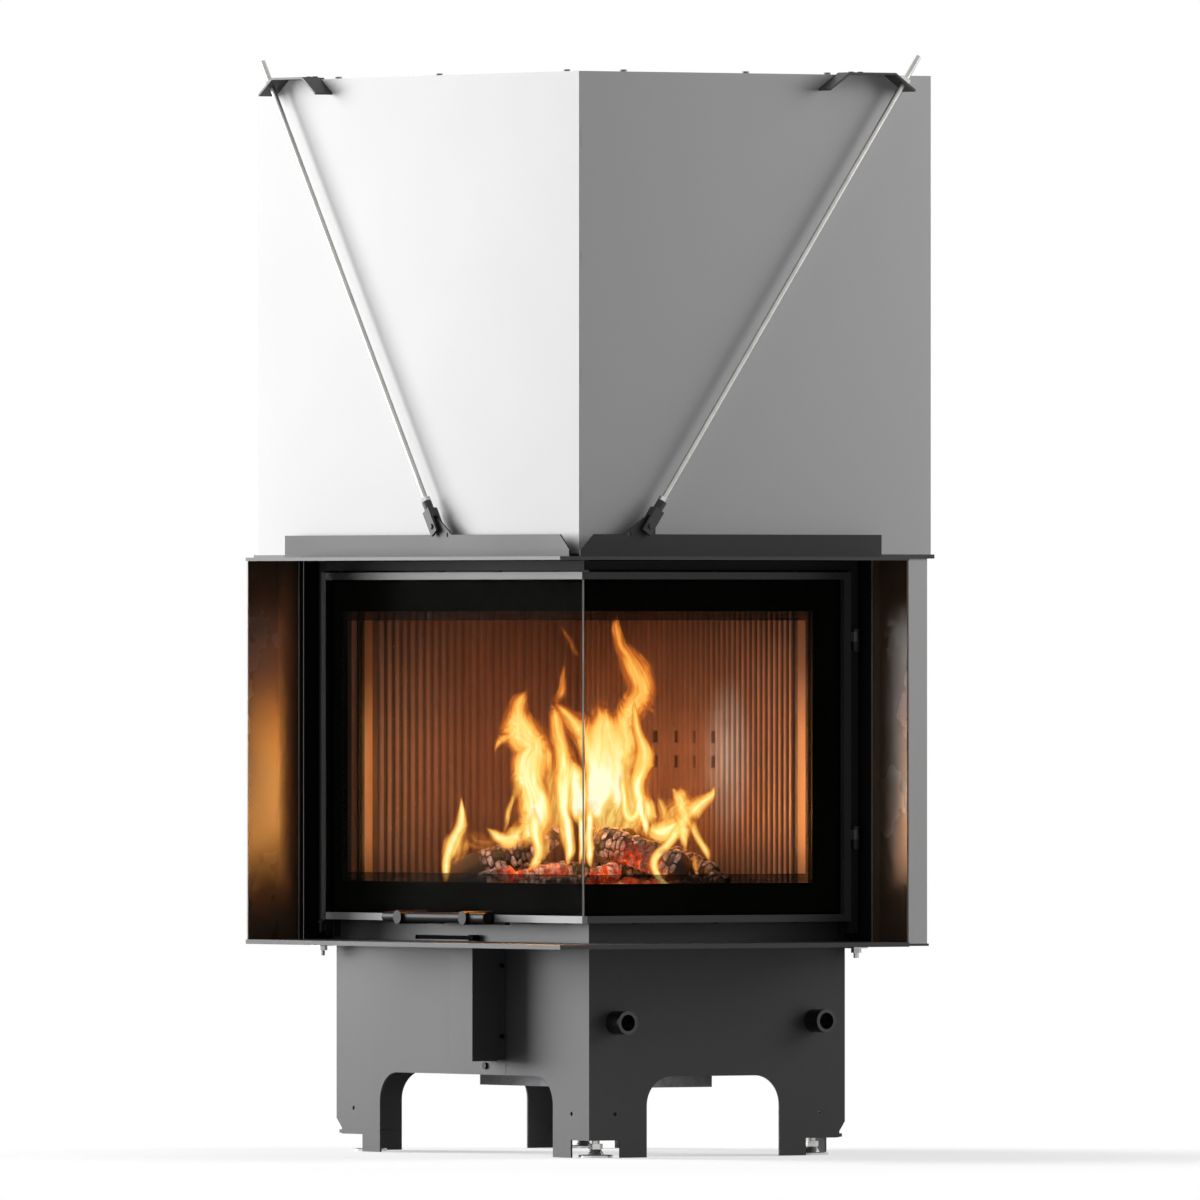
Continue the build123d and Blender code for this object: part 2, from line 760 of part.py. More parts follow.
def counterweight(width):
    """Iron bar that hangs from the rope's outer run."""
    top = pulley_high_z - pulley_r - weight_below_pulley
    near = front_span + sheet + weight_gap
    weight = block((near, near + width), (weight_v, weight_v + weight_t), (top - weight_len, top))
    reach = (weight_run_u - clamp_half, weight_run_u + clamp_half)
    return weight + rope_clamp(reach, weight_run_u, top - clamp_h, weight_v)


write("pulley_left_top", pulley(pulley_high_z))
write("pulley_left_bottom", pulley(pulley_low_z))
write("pulley_rear_top", mirrored(to_rear * pulley(pulley_high_z)))
write("pulley_rear_bottom", mirrored(to_rear * pulley(pulley_low_z)))
brackets = [pulley_bracket(pulley_high_z), pulley_bracket(pulley_low_z)]
write("pulley_brackets", *brackets, *[mirrored(to_rear * b) for b in brackets])
write("lift_ropes", rope_loop(), mirrored(to_rear * rope_loop()))
write("counterweight_left", counterweight(left_weight_w))
write("counterweight_rear", mirrored(to_rear * counterweight(rear_weight_w)))


# Door carriage: a post at each end, a top rail round the corner, roller pins, rope clamps, hinge and latch
def roller_place(z):
    return at(post_u + post_w / 2, post_v + post_d, z)


def carriage_post():
    """Post with its roller pins and the clamp for the rope beside it."""
    post = block((post_u, post_u + post_w), (post_v, post_v + post_d), (carriage_low, clamp_z + clamp_h))
    post += rope_clamp((post_u, rope_u + clamp_half), rope_u, clamp_z, post_v)
    for z in roller_heights:
        start = roller_place(z)
        post += bar(start, start + Vector(0, roller_gap + roller_w, 0), roller_pin_r)
        post += bar(start, start + Vector(0, roller_gap - slack, 0), roller_pin_r + roller_collar)
    return post


def hinge_knuckle(z):
    """Knuckle about the leaf's hinge axis, with its pin and the bolt head on top."""
    foot = at(hinge_u, hinge_v, z)
    pin_top = foot + Vector(0, 0, 2 * knuckle_h + 2 * slack)
    knuckle = bar(foot, foot + Vector(0, 0, knuckle_h), knuckle_r)
    knuckle += bar(foot, pin_top, hinge_pin_r)
    knuckle += hexagon(pin_top, pin_top + Vector(0, 0, hinge_bolt_h), 2 * knuckle_r)
    return knuckle + block((hinge_u, post_v), (hinge_v - knuckle_r / 2, hinge_v + knuckle_r / 2),
                           (z, z + knuckle_h))


def latch_pin():
    """T-shaped pin on the foot of the far post, below the leaf's free end."""
    low = at(latch_u, latch_v, latch_z[0])
    high = at(latch_u, latch_v, latch_z[1])
    side = Vector(latch_reach, 0, 0)
    lug = block((latch_u - latch_r, latch_u + latch_r), (latch_v, post_v),
                (carriage_low, carriage_low + latch_reach))
    return bar(low, high, latch_r) + bar(high - side, high + side, latch_r) + lug


rail_z = (carriage_rail_low, carriage_rail_top)
top_rail = block((post_v, post_u + post_w), (post_v, post_v + post_d), rail_z)
top_rail += block((post_v, post_v + post_d), (post_v, post_end_v + post_w), rail_z)
carriage = carriage_post() + mirrored(to_rear * carriage_post()) + top_rail + latch_pin()
for z in hinge_heights:
    carriage += hinge_knuckle(z)
write("carriage_frame", carriage)


def roller(z):
    start = roller_place(z) + Vector(0, roller_gap, 0)
    return pipe(start, start + Vector(0, roller_w, 0), post_w / 2 - slack, roller_pin_r + running)


for name, z in (("lower", roller_heights[0]), ("upper", roller_heights[1])):
    write(f"roller_left_{name}", roller(z))
    write(f"roller_rear_{name}", mirrored(to_rear * roller(z)))


# Door leaf: an L-shaped frame of rails and end stiles round two panes that meet at the corner
def leaf_l(v, z):
    """L-shaped rail of the leaf between two depths."""
    front = block((v[0], door_end_u), v, z)
    return front + block(v, (v[0], door_end_v), z)


back_v = (glass_v + glass_t + backing_gap, door_back)
leaf = leaf_l((door_face, door_back), (door_low, door_low + door_rail))
leaf += leaf_l((door_face, door_back), (door_top - door_rail, door_top))
leaf += leaf_l(back_v, (door_low, door_low + door_rail + door_backing))
leaf += leaf_l(back_v, (door_top - door_rail - door_backing, door_top))
leaf += block((door_end_u - door_stile, door_end_u), (door_face, door_back), (door_low, door_top))
leaf += block((door_face, door_back), (door_end_v - door_stile, door_end_v), (door_low, door_top))
glass_z = (door_low + glass_edge, door_top - glass_edge)
groove = (glass_v - glass_fit, glass_v + glass_t + glass_fit)
leaf -= block((groove[0], door_end_u - glass_edge + glass_fit), groove,
              (glass_z[0] - glass_fit, glass_z[1] + glass_fit))
leaf -= block(groove, (groove[0], door_end_v - glass_edge + glass_fit),
              (glass_z[0] - glass_fit, glass_z[1] + glass_fit))
for z in hinge_heights:
    low = z + knuckle_h + slack
    centre = at(hinge_u, hinge_v, low)
    leaf += bar(centre, centre + Vector(0, 0, knuckle_h), knuckle_r)
    leaf += block((door_face, hinge_u + knuckle_r), (door_end_v, hinge_v), (low, low + knuckle_h))
    leaf -= bar(centre, centre + Vector(0, 0, knuckle_h), hinge_pin_r + running)
write("door_frame", leaf)
pane_v = (glass_v, glass_v + glass_t)
glass_front = block((pane_v[1] + corner_gap, door_end_u - glass_edge), pane_v, glass_z)
glass_side = block(pane_v, (glass_v, door_end_v - glass_edge), glass_z)
write("glass_front", glass_front)
write("glass_side", glass_side)

# Handle: two posts on the lower rail and a bar through them
post_disc_v = door_face - handle_out
bar_v = post_disc_v + handle_bar_back
posts_u = (handle_u - handle_pitch / 2, handle_u + handle_pitch / 2)
bar_ends = (posts_u[0] - handle_overhang, posts_u[1] + handle_overhang)
handle_bar = bar(at(bar_ends[0], bar_v, handle_z), at(bar_ends[1], bar_v, handle_z), handle_bar_r)
posts = []
for u in posts_u:
    post = bar(at(u, post_disc_v, handle_z), at(u, door_face, handle_z), handle_post_r)
    post -= bar(at(u - handle_post_r, bar_v, handle_z), at(u + handle_post_r, bar_v, handle_z),
                handle_bar_r + running)
    posts.append(post)
    posts.append(block((u - handle_foot_half, u + handle_foot_half),
                       (door_face, door_face + handle_foot_reach), (door_low - handle_foot_h, door_low)))
write("handle_bar", handle_bar)
write("handle_posts", *posts)

# Firebox face: bands above and below the fire opening, end jambs and the air slide's slot
face_z = (floor_z, ledge_z)


def face_l(v, z):
    front = block((v[0], front_span), v, z)
    return front + block(v, (v[0], side_span), z)


face_v = (face_plane, face_plane + face_t)
face = face_l(face_v, face_z)
face -= block((face_plane, chamber_w), face_v, (opening_bottom, opening_top))
face -= block(face_v, (face_plane, chamber_d), (opening_bottom, opening_top))
face -= block((slot_u, slot_u + slot_len), face_v, (slot_low, slot_low + slot_h))
guide_u = (slot_u - guide_lead, slot_u + slide_len + slide_travel)
slide_low = slot_low - slide_drop
slide_high = slide_low + slide_h
slide_back = face_v[1] + slack + slide_t + slack
guide_back = slide_back + guide_t
face += block(guide_u, (face_v[1], guide_back), (floor_z, slide_low - slack))
face += block(guide_u, (face_v[1], guide_back), (slide_high + slack, slide_high + guide_h))
face += block(guide_u, (slide_back, guide_back), (slide_high - guide_lap, slide_high + guide_h))
write("face_frame", face)

# Air slide: perforated strip behind the face, with a tongue through the slot that carries the knob
slide_v = (face_v[1] + slack, face_v[1] + slack + slide_t)
slide_start = slot_u - slide_lead
slide = block((slide_start, slide_start + slide_len), slide_v, (slide_low, slide_high))
near = guide_back + body_gap
ports = []
for i in range(4):
    u = slide_start + port_start + i * port_pitch
    ports.append(block((u, u + port_w), (face_plane, near + lower_wall),
                       (slide_low + port_z[0], slide_low + port_z[1])))
for hole in ports:
    slide -= hole
tongue_u = (slot_u + tongue_margin, slot_u + knob_w - tongue_margin)
tongue_z = (slot_low + tongue_gap, slot_low + slot_h - tongue_gap)
slide += block(tongue_u, (face_plane - tongue_reach, slide_v[0]), tongue_z)
knob_centre = at(slot_u + knob_w / 2, face_plane - knob_out / 2 - tongue_gap, slot_low + slot_h / 2)
knob = Pos(knob_centre.X, knob_centre.Y, knob_centre.Z) * Box(knob_w, knob_out, knob_h)
knob = fillet(knob.edges().filter_by(Axis.X), knob_fillet)
knob -= block(tongue_u, (face_plane - tongue_reach, face_plane), tongue_z)
write("air_slide", slide)
write("air_knob", knob)

# Firebox body: rear and left walls, false floor, lower walls behind the face
body_z = (floor_z, ledge_z)
shelf_z = (hearth_z - hearth_t - shelf_t, hearth_z - hearth_t)
inner_u = (near, plinth_far_u - firebox_wall)
inner_v = (near, plinth_far_v - firebox_wall)
body = block((near, plinth_far_u), (inner_v[1], plinth_far_v), body_z)
body += block((inner_u[1], plinth_far_u), (near, plinth_far_v), body_z)
body += block(inner_u, inner_v, shelf_z)
lower_wall_z = (floor_z, hearth_z - hearth_far_gap)
body += block(inner_u, (near, near + lower_wall), lower_wall_z)
body += block((near, near + lower_wall), inner_v, lower_wall_z)
for hole in ports:
    body -= Pos(-slide_travel, 0, 0) * hole
write("firebox_body", body)


# Ribbed linings, hearth and baffle
def ribbed_panel(start, length, flat, thickness, height):
    """Panel along a facade, flat at its glass end and ribbed over the rest, as a profile drawn upwards."""
    count = int((length - flat) / rib_pitch)
    points = [(start, rib_depth), (start + flat, rib_depth)]
    for i in range(count):
        s = start + flat + i * rib_pitch
        points += [(s + rib_pitch * 0.15, 0), (s + rib_pitch * 0.55, 0)]
        points += [(s + rib_pitch * 0.7, rib_depth), (s + rib_pitch, rib_depth)]
    points += [(start + length, rib_depth), (start + length, thickness), (start, thickness)]
    face = make_face(Polyline(*points, close=True))
    return extrude(face, amount=height)


panel_h = lining_top - hearth_z
lining_start = near + lining_gap
lining_back_v = chamber_d - rib_depth
back_lining = ribbed_panel(lining_start, chamber_w - rib_depth - lining_start, jamb_flat, lining_t, panel_h)
back_place = Plane(origin=at(0, lining_back_v, lining_top), x_dir=(-1, 0, 0), z_dir=(0, 0, -1))
back_lining = back_place * back_lining
for u in back_ports_u:
    for z in back_ports_z:
        back_lining -= block((u - back_port_half, u + back_port_half),
                             (lining_back_v, lining_back_v + lining_t),
                             (z - back_port_half_h, z + back_port_half_h))
left_len = lining_back_v + lining_t - lining_start
left_place = Plane(origin=at(chamber_w - rib_depth, 0, hearth_z), x_dir=(0, 1, 0), z_dir=(0, 0, 1))
left_lining = left_place * ribbed_panel(lining_start, left_len, left_jamb_flat, lining_t, panel_h)
write("lining_back", back_lining)
write("lining_left", left_lining)
hearth = block((near + hearth_gap, inner_u[1] - hearth_far_gap),
               (near + hearth_gap, inner_v[1] - hearth_far_gap), (shelf_z[1], hearth_z))
write("hearth_floor", hearth)
baffle = block((baffle_u, chamber_w - rib_depth + lining_t), (baffle_v, lining_back_v + lining_t),
               (lining_top, lining_top + baffle_t))
write("baffle", baffle)

# Smoke hood above the ledge, tapering to the flue collar
hood_mid = at(sum(hood_u) / 2, sum(hood_v) / 2, 0)
hood_size = (hood_u[1] - hood_u[0], hood_v[1] - hood_v[0])


def hood_solid(offset):
    """Box with four flat slopes up to the collar's plate, drawn in by an offset."""
    lower = Pos(hood_mid.X, hood_mid.Y, ledge_top)
    w = hood_size[0] - 2 * offset
    d = hood_size[1] - 2 * offset
    top_w = 2 * (flue_r + collar_seat - offset)
    box = extrude(lower * Rectangle(w, d), amount=hood_foot - ledge_top)
    foot = Pos(hood_mid.X, hood_mid.Y, hood_foot) * Rectangle(w, d)
    head = Pos(hood_mid.X, hood_mid.Y, hood_head) * Rectangle(top_w, top_w)
    return box + loft([foot, head])


flue_low = Vector(hood_mid.X, hood_mid.Y, hood_head)
plate_w = 2 * (flue_r + collar_seat)
collar_plate = extrude(Pos(0, 0, -hood_wall) * Pos(flue_low) * Rectangle(plate_w, plate_w), amount=hood_wall)
hood = hood_solid(0) - hood_solid(hood_wall) + (collar_plate & hood_solid(0))
hood -= bar(Vector(hood_mid.X, hood_mid.Y, hood_foot), flue_low, flue_r - hood_wall)
write("smoke_hood", hood)
flue_high = Vector(hood_mid.X, hood_mid.Y, hood_head + flue_h)
write("flue_collar", pipe(flue_low, flue_high, flue_r, flue_r - hood_wall))

# Door seal: rope gasket round the fire opening, on the face
seal_v = (door_back + slack, face_plane)
seal_low = (opening_bottom - seal_drop - seal_w, opening_bottom - seal_drop)
seal_high = (opening_top + seal_drop, opening_top + seal_drop + seal_w)
seal_far_u = (chamber_w + seal_near, chamber_w + seal_near + seal_w)
seal_far_v = (chamber_d + seal_near, chamber_d + seal_near + seal_w)


def seal_l(z):
    """Run of the seal round the corner."""
    return block((seal_v[0], seal_far_u[1]), seal_v, z) + block(seal_v, (seal_v[0], seal_far_v[1]), z)


seal = seal_l(seal_low) + seal_l(seal_high)
seal += block(seal_far_u, seal_v, (seal_low[0], seal_high[1]))
seal += block(seal_v, seal_far_v, (seal_low[0], seal_high[1]))
write("door_seal", seal)


# Lintel angles with an ear each
def lintel(start, length, pin_s, leg_start):
    """Angle along the front facade with its web outwards, a cut corner and an ear for the tension rod."""
    top = lintel_low + lintel_h
    end = start + length
    points = [(start, lintel_low), (end, lintel_low), (end, top), (start + lintel_cut[0], top),
              (start, top - lintel_cut[1])]
    web = front_sheet(lintel_face, lintel_t, points)
    web += block((leg_start, end), (-lintel_out, 0), (lintel_low, lintel_low + lintel_t))
    ear_tip = top + ear_h
    far = pin_s + clevis_tail
    ear_points = [(far - ear_w, top), (far, top), (far, ear_tip - ear_cut), (far - ear_cut, ear_tip),
                  (pin_s - ear_slope, ear_tip)]
    ear = front_sheet(lintel_face, lintel_t, ear_points)
    ear -= bar(at(pin_s, lintel_face, pin_z), at(pin_s, 0, pin_z), rod_r + running)
    web += ear
    hole_s = pin_s - ear_hole_back
    return web - bar(at(hole_s, lintel_face, top), at(hole_s, 0, top), ear_hole_r)


write("lintel_angles", lintel(front_lintel_start, front_lintel_len, front_pin_u, front_lintel_start),
      mirrored(lintel(side_lintel_start, side_lintel_len, side_pin_v, 0.0)))


# Tension rods with clevis, pin, lock nut and end nut, and the brackets on the casing's top
def rod_frame(pin_s, tip_s):
    """Plane at the clevis pin, its z axis up along the rod and its x axis towards the casing."""
    start = at(pin_s, lintel_face + lintel_t / 2, pin_z)
    end = at(tip_s, lintel_face + lintel_t / 2, rod_tip_z - rod_r * 0.55)
    return Plane(origin=start, x_dir=(0, 1, 0), z_dir=end - start), (end - start).length


def clevis():
    """Fork with its neck and its pin, at the pin's centre and along +Z."""
    whole = clevis_tail + clevis_body
    fork = Pos(0, 0, (clevis_body - clevis_tail) / 2) * Box(clevis_side, clevis_side, whole)
    fork += Pos(0, 0, clevis_body) * Cylinder(clevis_neck_r, clevis_len - clevis_body,
                                              align=(Align.CENTER, Align.CENTER, Align.MIN))
    slot_span = clevis_tail + clevis_slot_end
    fork -= Pos(0, 0, clevis_slot_end - slot_span / 2) * Box(clevis_slot, clevis_side, slot_span)
    fork -= Cylinder(rod_r + running, clevis_len, align=(Align.CENTER, Align.CENTER, Align.MIN))
    fork -= Rot(0, 90, 0) * Cylinder(rod_r + running, clevis_side * 2)
    pin = Rot(0, 90, 0) * Cylinder(rod_r, clevis_side + 2 * pin_head)
    return fork, pin


def rod_bracket(start, tip_s, pin_s):
    """Strip on the casing's top with two arms bent down; the far arm holds the rod."""
    plane, length = rod_frame(pin_s, tip_s)
    lean = math.degrees(math.atan2(plane.z_dir.Z, abs(plane.z_dir.X)))
    drop = 90 - lean
    end = start + bracket_web
    web = block((start, end), (-bracket_w, 0), (cap_top, cap_top + bracket_t))
    arms = []
    for s, turn in ((end, 1), (start, -1)):
        hinge = at(s, -bracket_w / 2, cap_top + bracket_t / 2)
        arm = Pos(-turn * bracket_arm / 2, 0, 0) * Box(bracket_arm, bracket_w, bracket_t)
        arms.append(Pos(hinge.X, hinge.Y, hinge.Z) * Rot(0, -turn * drop, 0) * arm)
    tab = block((start + bracket_tab_margin, end - bracket_tab_margin), (0, bracket_tab_reach),
                (cap_top, cap_top + bracket_t))
    shape = web + arms[0] + arms[1] + tab
    shape -= bar(plane.origin, plane.origin + plane.z_dir * length, rod_r + slack)
    screw_z = cap_top + bracket_t
    for s in (start + bracket_screw_in, end - bracket_screw_in):
        shape += bar(at(s, bracket_screw_v, screw_z), at(s, bracket_screw_v, screw_z + bracket_screw_h),
                     bracket_screw_r)
    return shape


def rod_set(pin_s, tip_s, bracket_s):
    """Clevis, pin, rod and its nuts, placed from the pin to the rod's tip."""
    plane, length = rod_frame(pin_s, tip_s)
    fork, pin = clevis()
    rod_start = clevis_body - rod_hold
    rod = bar(Vector(0, 0, rod_start), Vector(0, 0, length), rod_r)
    drop = plane.z_dir
    arm_z = cap_top + bracket_t / 2
    far = bracket_s + bracket_web
    slope = drop.Z / abs(drop.X)
    cross_s = (arm_z - pin_z + far / slope + pin_s * slope) / (slope + 1 / slope)
    cross = (cross_s - pin_s) / abs(drop.X) + bracket_t / 2
    lock = hexagon(Vector(0, 0, clevis_len), Vector(0, 0, clevis_len + nut_h), nut_flat, rod_r + running)
    nut_low = cross + washer_t + slack
    top = hexagon(Vector(0, 0, nut_low), Vector(0, 0, nut_low + nut_h), nut_flat, rod_r + running)
    washer = pipe(Vector(0, 0, cross), Vector(0, 0, cross + washer_t), washer_r, rod_r + running)
    return plane * fork, plane * pin, plane * rod, [plane * lock, plane * top, plane * washer]


front_set = rod_set(front_pin_u, front_tip_u, front_bracket_u)
side_set = [
    mirrored(p) if not isinstance(p, list) else [mirrored(q) for q in p]
    for p in rod_set(side_pin_v, side_tip_v, side_bracket_v)
]
write("rod_clevises", front_set[0], front_set[1], side_set[0], side_set[1])
write("tension_rods", front_set[2], side_set[2])
write("rod_nuts", *front_set[3], *side_set[3])
write("rod_brackets", rod_bracket(front_bracket_u, front_tip_u, front_pin_u),
      mirrored(rod_bracket(side_bracket_v, side_tip_v, side_pin_v)))
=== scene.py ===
import math

import bmesh
import bpy
import numpy as np
from mathutils import Matrix, Vector


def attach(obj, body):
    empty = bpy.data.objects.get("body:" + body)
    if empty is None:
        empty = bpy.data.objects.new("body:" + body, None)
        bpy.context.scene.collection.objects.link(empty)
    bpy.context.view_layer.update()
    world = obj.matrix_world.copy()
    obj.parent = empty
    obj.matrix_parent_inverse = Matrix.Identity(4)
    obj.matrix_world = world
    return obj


# Corner fireplace insert with a lift-up L-shaped glass door, in its finishes.
# u is the inset from the casing's side plane towards -X, v the inset from its front plane towards +Y,
# and z the height, all in millimetres. The meshes are in metres, and so is what the materials read.

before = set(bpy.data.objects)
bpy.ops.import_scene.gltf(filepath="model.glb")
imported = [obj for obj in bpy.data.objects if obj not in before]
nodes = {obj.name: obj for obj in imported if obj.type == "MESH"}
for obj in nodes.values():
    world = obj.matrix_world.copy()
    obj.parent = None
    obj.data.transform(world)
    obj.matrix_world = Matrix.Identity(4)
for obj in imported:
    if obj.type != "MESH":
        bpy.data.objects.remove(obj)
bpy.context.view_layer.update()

MM = 0.001
SIDE_X = 375.0
FRONT_Y = -259.75

# Door
DOOR_FACE = 17.0
DOOR_LOW = 337.0
DOOR_TOP = 840.0
DOOR_END_V = 484.0
RAIL = 10.3
STILE = 12.0
GLASS_V = 27.0
GLASS_T = 4.0
GLASS_Z = (343.0, 834.0)

# Print on the inside of the panes: its layer, its borders, the fringe of dots along them; the ground edge
PRINT_LAYER = (GLASS_V + GLASS_T + 0.05, GLASS_V + GLASS_T + 0.35)
PRINT_BAND = 46.0
PRINT_END = 45.0
PRINT_LEFT_U = 662.0
PRINT_OUTER_U = 690.0
PRINT_OUTER_V = 478.0
DOTS_BAND = 13.0
DOTS_GAP = 0.1
EDGE_PROUD = 0.3

# Screws in the door's rails; a tiny face in metres seats each head
SCREW_RADIUS = 3.6
SCREW_HEIGHT = 2.2
SCREW_INSET = 22.0
SCREW_PROUD = 0.6
SEAT_SIZE = 0.0001
TOP_SCREWS_U = (90.0, 238.0, 386.0, 534.0, 650.0)
LOW_SCREWS_U = (60.0, 150.0, 560.0, 640.0)
SIDE_SCREWS_V = (110.0, 250.0, 390.0)
UP = (0, 0, 1)
DOWN = (0, 0, -1)

# Firebox
HEARTH_Z = 380.0
FIRE_U = 343.0
FIRE_V = 250.0
FIRE_DIAGONAL = Vector((0.559, 0.829, 0.0))
TOWARDS_ROOM = Vector((0.829, -0.559, 0.0))

# Places in metres for black paint and for painted light and shade: painted shade on the channel faces of the
# wells, black hems at the wings' inner ends with a painted highlight on their bend and painted shade beside
# them, painted shade on the left stile of the door and on the face frame behind it, and black lower screws of
# the casing
WELL_INNER_X = -0.3456
WELL_INNER_Y = 0.2475
WING_HEM_Y = -0.26775
WING_HEM_X = 0.383
BEND_HIGHLIGHT_WIDTH = 0.0011
REAR_WING_X = 0.30
END_SHADE_Y = (-0.305, -0.272)
END_SHADE_X = (0.405, 0.382)
SHADED_STILE_X = -0.3088
SHADED_FRAME_Z = 0.345
LOW_SCREWS_Z = 0.85
BLACK = (0.006, 0.006, 0.006)

# The front of the door's lower rail gets painted light: its colour is paler than the rest of the door by this
# factor
RAIL_PAINTED_LIGHT = 8.5
RAIL_FACE = 9.0
RAIL_MARGIN = 0.2

# Linings in metres: their height, the flats beside the glass, the planes of the rib crests, and where the
# painted shade in the grooves thickens along each wall
LINING_Z = (0.38, 0.80)
LEFT_FLAT_Y = -0.1837
REAR_FLAT_X = 0.2865
LEFT_CREST_X = -0.2712
REAR_CREST_Y = 0.1764
RIB_DEPTH = 0.0034
REAR_WALL_Y = REAR_CREST_Y - 0.004
LEFT_TOWARDS_GLASS_Y = (0.02, -0.17)
REAR_TOWARDS_GLASS_X = (-0.02, 0.26)

# Air ports in metres: the cells they sit in, the reach of the painted shade in each, the field round them with
# less painted shade in the grooves
PORTS_X = (-0.100, 0.100)
PORTS_Z = (0.548, 0.620)
PORT_PITCH = (0.050, 0.036)
PORT_EDGE = (0.0056, 0.0090)
PORT_FIELD_X = (-0.092, 0.090)
PORT_FIELD_Z = (0.528, 0.640)
# Painted highlight where the fire's sheen falls on the rear wall: its middle, and how fast it fades along each
# axis
SHEEN_SPOT = (0.112, 0.180, 0.568)
SHEEN_FALL = (14.0, 0.0, 7.5)

# Flames are brighter than white where satin surfaces mirror them
FLAME_STRENGTH = 1.30
MIRRORED_FIRE = 46.0


def at(u, v, z):
    """Point in metres from its insets and its height in millimetres."""
    return Vector(((SIDE_X - u) * MM, (FRONT_Y + v) * MM, z * MM))


# Nodes


def feed(tree, node, inputs):
    """Sets inputs of a node, each to a value or to another node's output."""
    for key, value in inputs.items():
        if isinstance(value, bpy.types.NodeSocket):
            tree.links.new(value, node.inputs[key])
        else:
            node.inputs[key].default_value = value


def add(tree, kind, inputs=None, **settings):
    """Node with its settings and inputs."""
    node = tree.nodes.new(kind)
    for key, value in settings.items():
        setattr(node, key, value)
    feed(tree, node, inputs or {})
    return node


def bare_material(name):
    """Material with nothing but its output."""
    material = bpy.data.materials.new(name)
    material.use_nodes = True
    tree = material.node_tree
    tree.nodes.clear()
    return material, tree, add(tree, "ShaderNodeOutputMaterial")


def new_material(name):
    """Material with a Principled shader on its output."""
    material, tree, output = bare_material(name)
    shader = add(tree, "ShaderNodeBsdfPrincipled")
    feed(tree, output, {"Surface": shader.outputs["BSDF"]})
    return material, tree, shader


def place(tree, scale=(1, 1, 1), turn=(0, 0, 0)):
    """Object coordinates in metres, scaled and turned."""
    coordinates = add(tree, "ShaderNodeTexCoord")
    mapping = add(tree, "ShaderNodeMapping", {
        "Vector": coordinates.outputs["Object"], "Scale": scale, "Rotation": turn})
    return mapping.outputs["Vector"]


def noise(tree, vector, scale, detail=3.0, rough=0.5, distortion=0.0):
    node = add(tree, "ShaderNodeTexNoise", {
        "Vector": vector, "Scale": scale, "Detail": detail, "Roughness": rough, "Distortion": distortion})
    return node.outputs["Fac"]


def strands(tree, vector, scale, distortion):
    """Slanting bands of woven or twisted strands."""
    node = add(tree, "ShaderNodeTexWave", {"Vector": vector, "Scale": scale, "Distortion": distortion},
               wave_type="BANDS", bands_direction="DIAGONAL")
    return node.outputs["Fac"]


def specks(tree, scale):
    """Distance to the middle of the nearest of many specks."""
    return add(tree, "ShaderNodeTexVoronoi", {"Vector": place(tree), "Scale": scale}).outputs["Distance"]


def ramp(tree, value, stops, interpolation="LINEAR"):
    """Colour ramp from (position, colour) stops; a single number stands for a grey."""
    node = add(tree, "ShaderNodeValToRGB", {"Fac": value})
    node.color_ramp.interpolation = interpolation
    elements = node.color_ramp.elements
    elements.remove(elements[1])
    elements[0].position = stops[0][0]
    for index, (position, colour) in enumerate(stops):
        element = elements[0] if index == 0 else elements.new(position)
        shade = colour if isinstance(colour, tuple) else grey(colour)
        element.color = (*shade, 1.0)
    return node.outputs["Color"]


def grey(value):
    return (value, value, value)


def scaled(colour, amount):
    return tuple(c * amount for c in colour)


def mix(tree, fac, a, b, blend="MIX"):
    """Colour between two colours, each given as three numbers or as a node's output."""
    first, second = [c if isinstance(c, bpy.types.NodeSocket) else (*c, 1.0) for c in (a, b)]
    node = add(tree, "ShaderNodeMix", data_type="RGBA", blend_type=blend)
    feed(tree, node, {0: fac, 6: first, 7: second})
    return node.outputs[2]


def tinted(tree, base, tint):
    return mix(tree, 1.0, base, tint, "MULTIPLY")


def maths(tree, operation, a, b=0.0):
    return add(tree, "ShaderNodeMath", {0: a, 1: b}, operation=operation).outputs[0]


def times(tree, a, b):
    return maths(tree, "MULTIPLY", a, b)


def plus(tree, a, b):
    return maths(tree, "ADD", a, b)


def minus(tree, a, b):
    return maths(tree, "SUBTRACT", a, b)


def larger(tree, a, b):
    return maths(tree, "MAXIMUM", a, b)


def bump(tree, height, distance):
    node = add(tree, "ShaderNodeBump", {"Height": height, "Distance": distance, "Strength": 1.0})
    return node.outputs["Normal"]


def coordinate(tree, axis):
    """One object coordinate in metres."""
    coordinates = add(tree, "ShaderNodeTexCoord")
    return add(tree, "ShaderNodeSeparateXYZ", {"Vector": coordinates.outputs["Object"]}).outputs[axis]


def above(tree, axis, value):
    return maths(tree, "GREATER_THAN", coordinate(tree, axis), value)


def below(tree, axis, value):
    return maths(tree, "LESS_THAN", coordinate(tree, axis), value)


def between(tree, axis, low, high):
    return times(tree, above(tree, axis, low), below(tree, axis, high))


def spread(tree, axis, low, high):
    """0 to 1 as an object coordinate runs from low to high."""
    return add(tree, "ShaderNodeMapRange", {
        "Value": coordinate(tree, axis), "From Min": low, "From Max": high}).outputs[0]


def uv_pair(tree, name):
    """The two values that a piece carries in one of its UV maps."""
    node = add(tree, "ShaderNodeUVMap", uv_map=name)
    split = add(tree, "ShaderNodeSeparateXYZ", {"Vector": node.outputs["UV"]})
    return split.outputs["X"], split.outputs["Y"]


# Sheet and steel


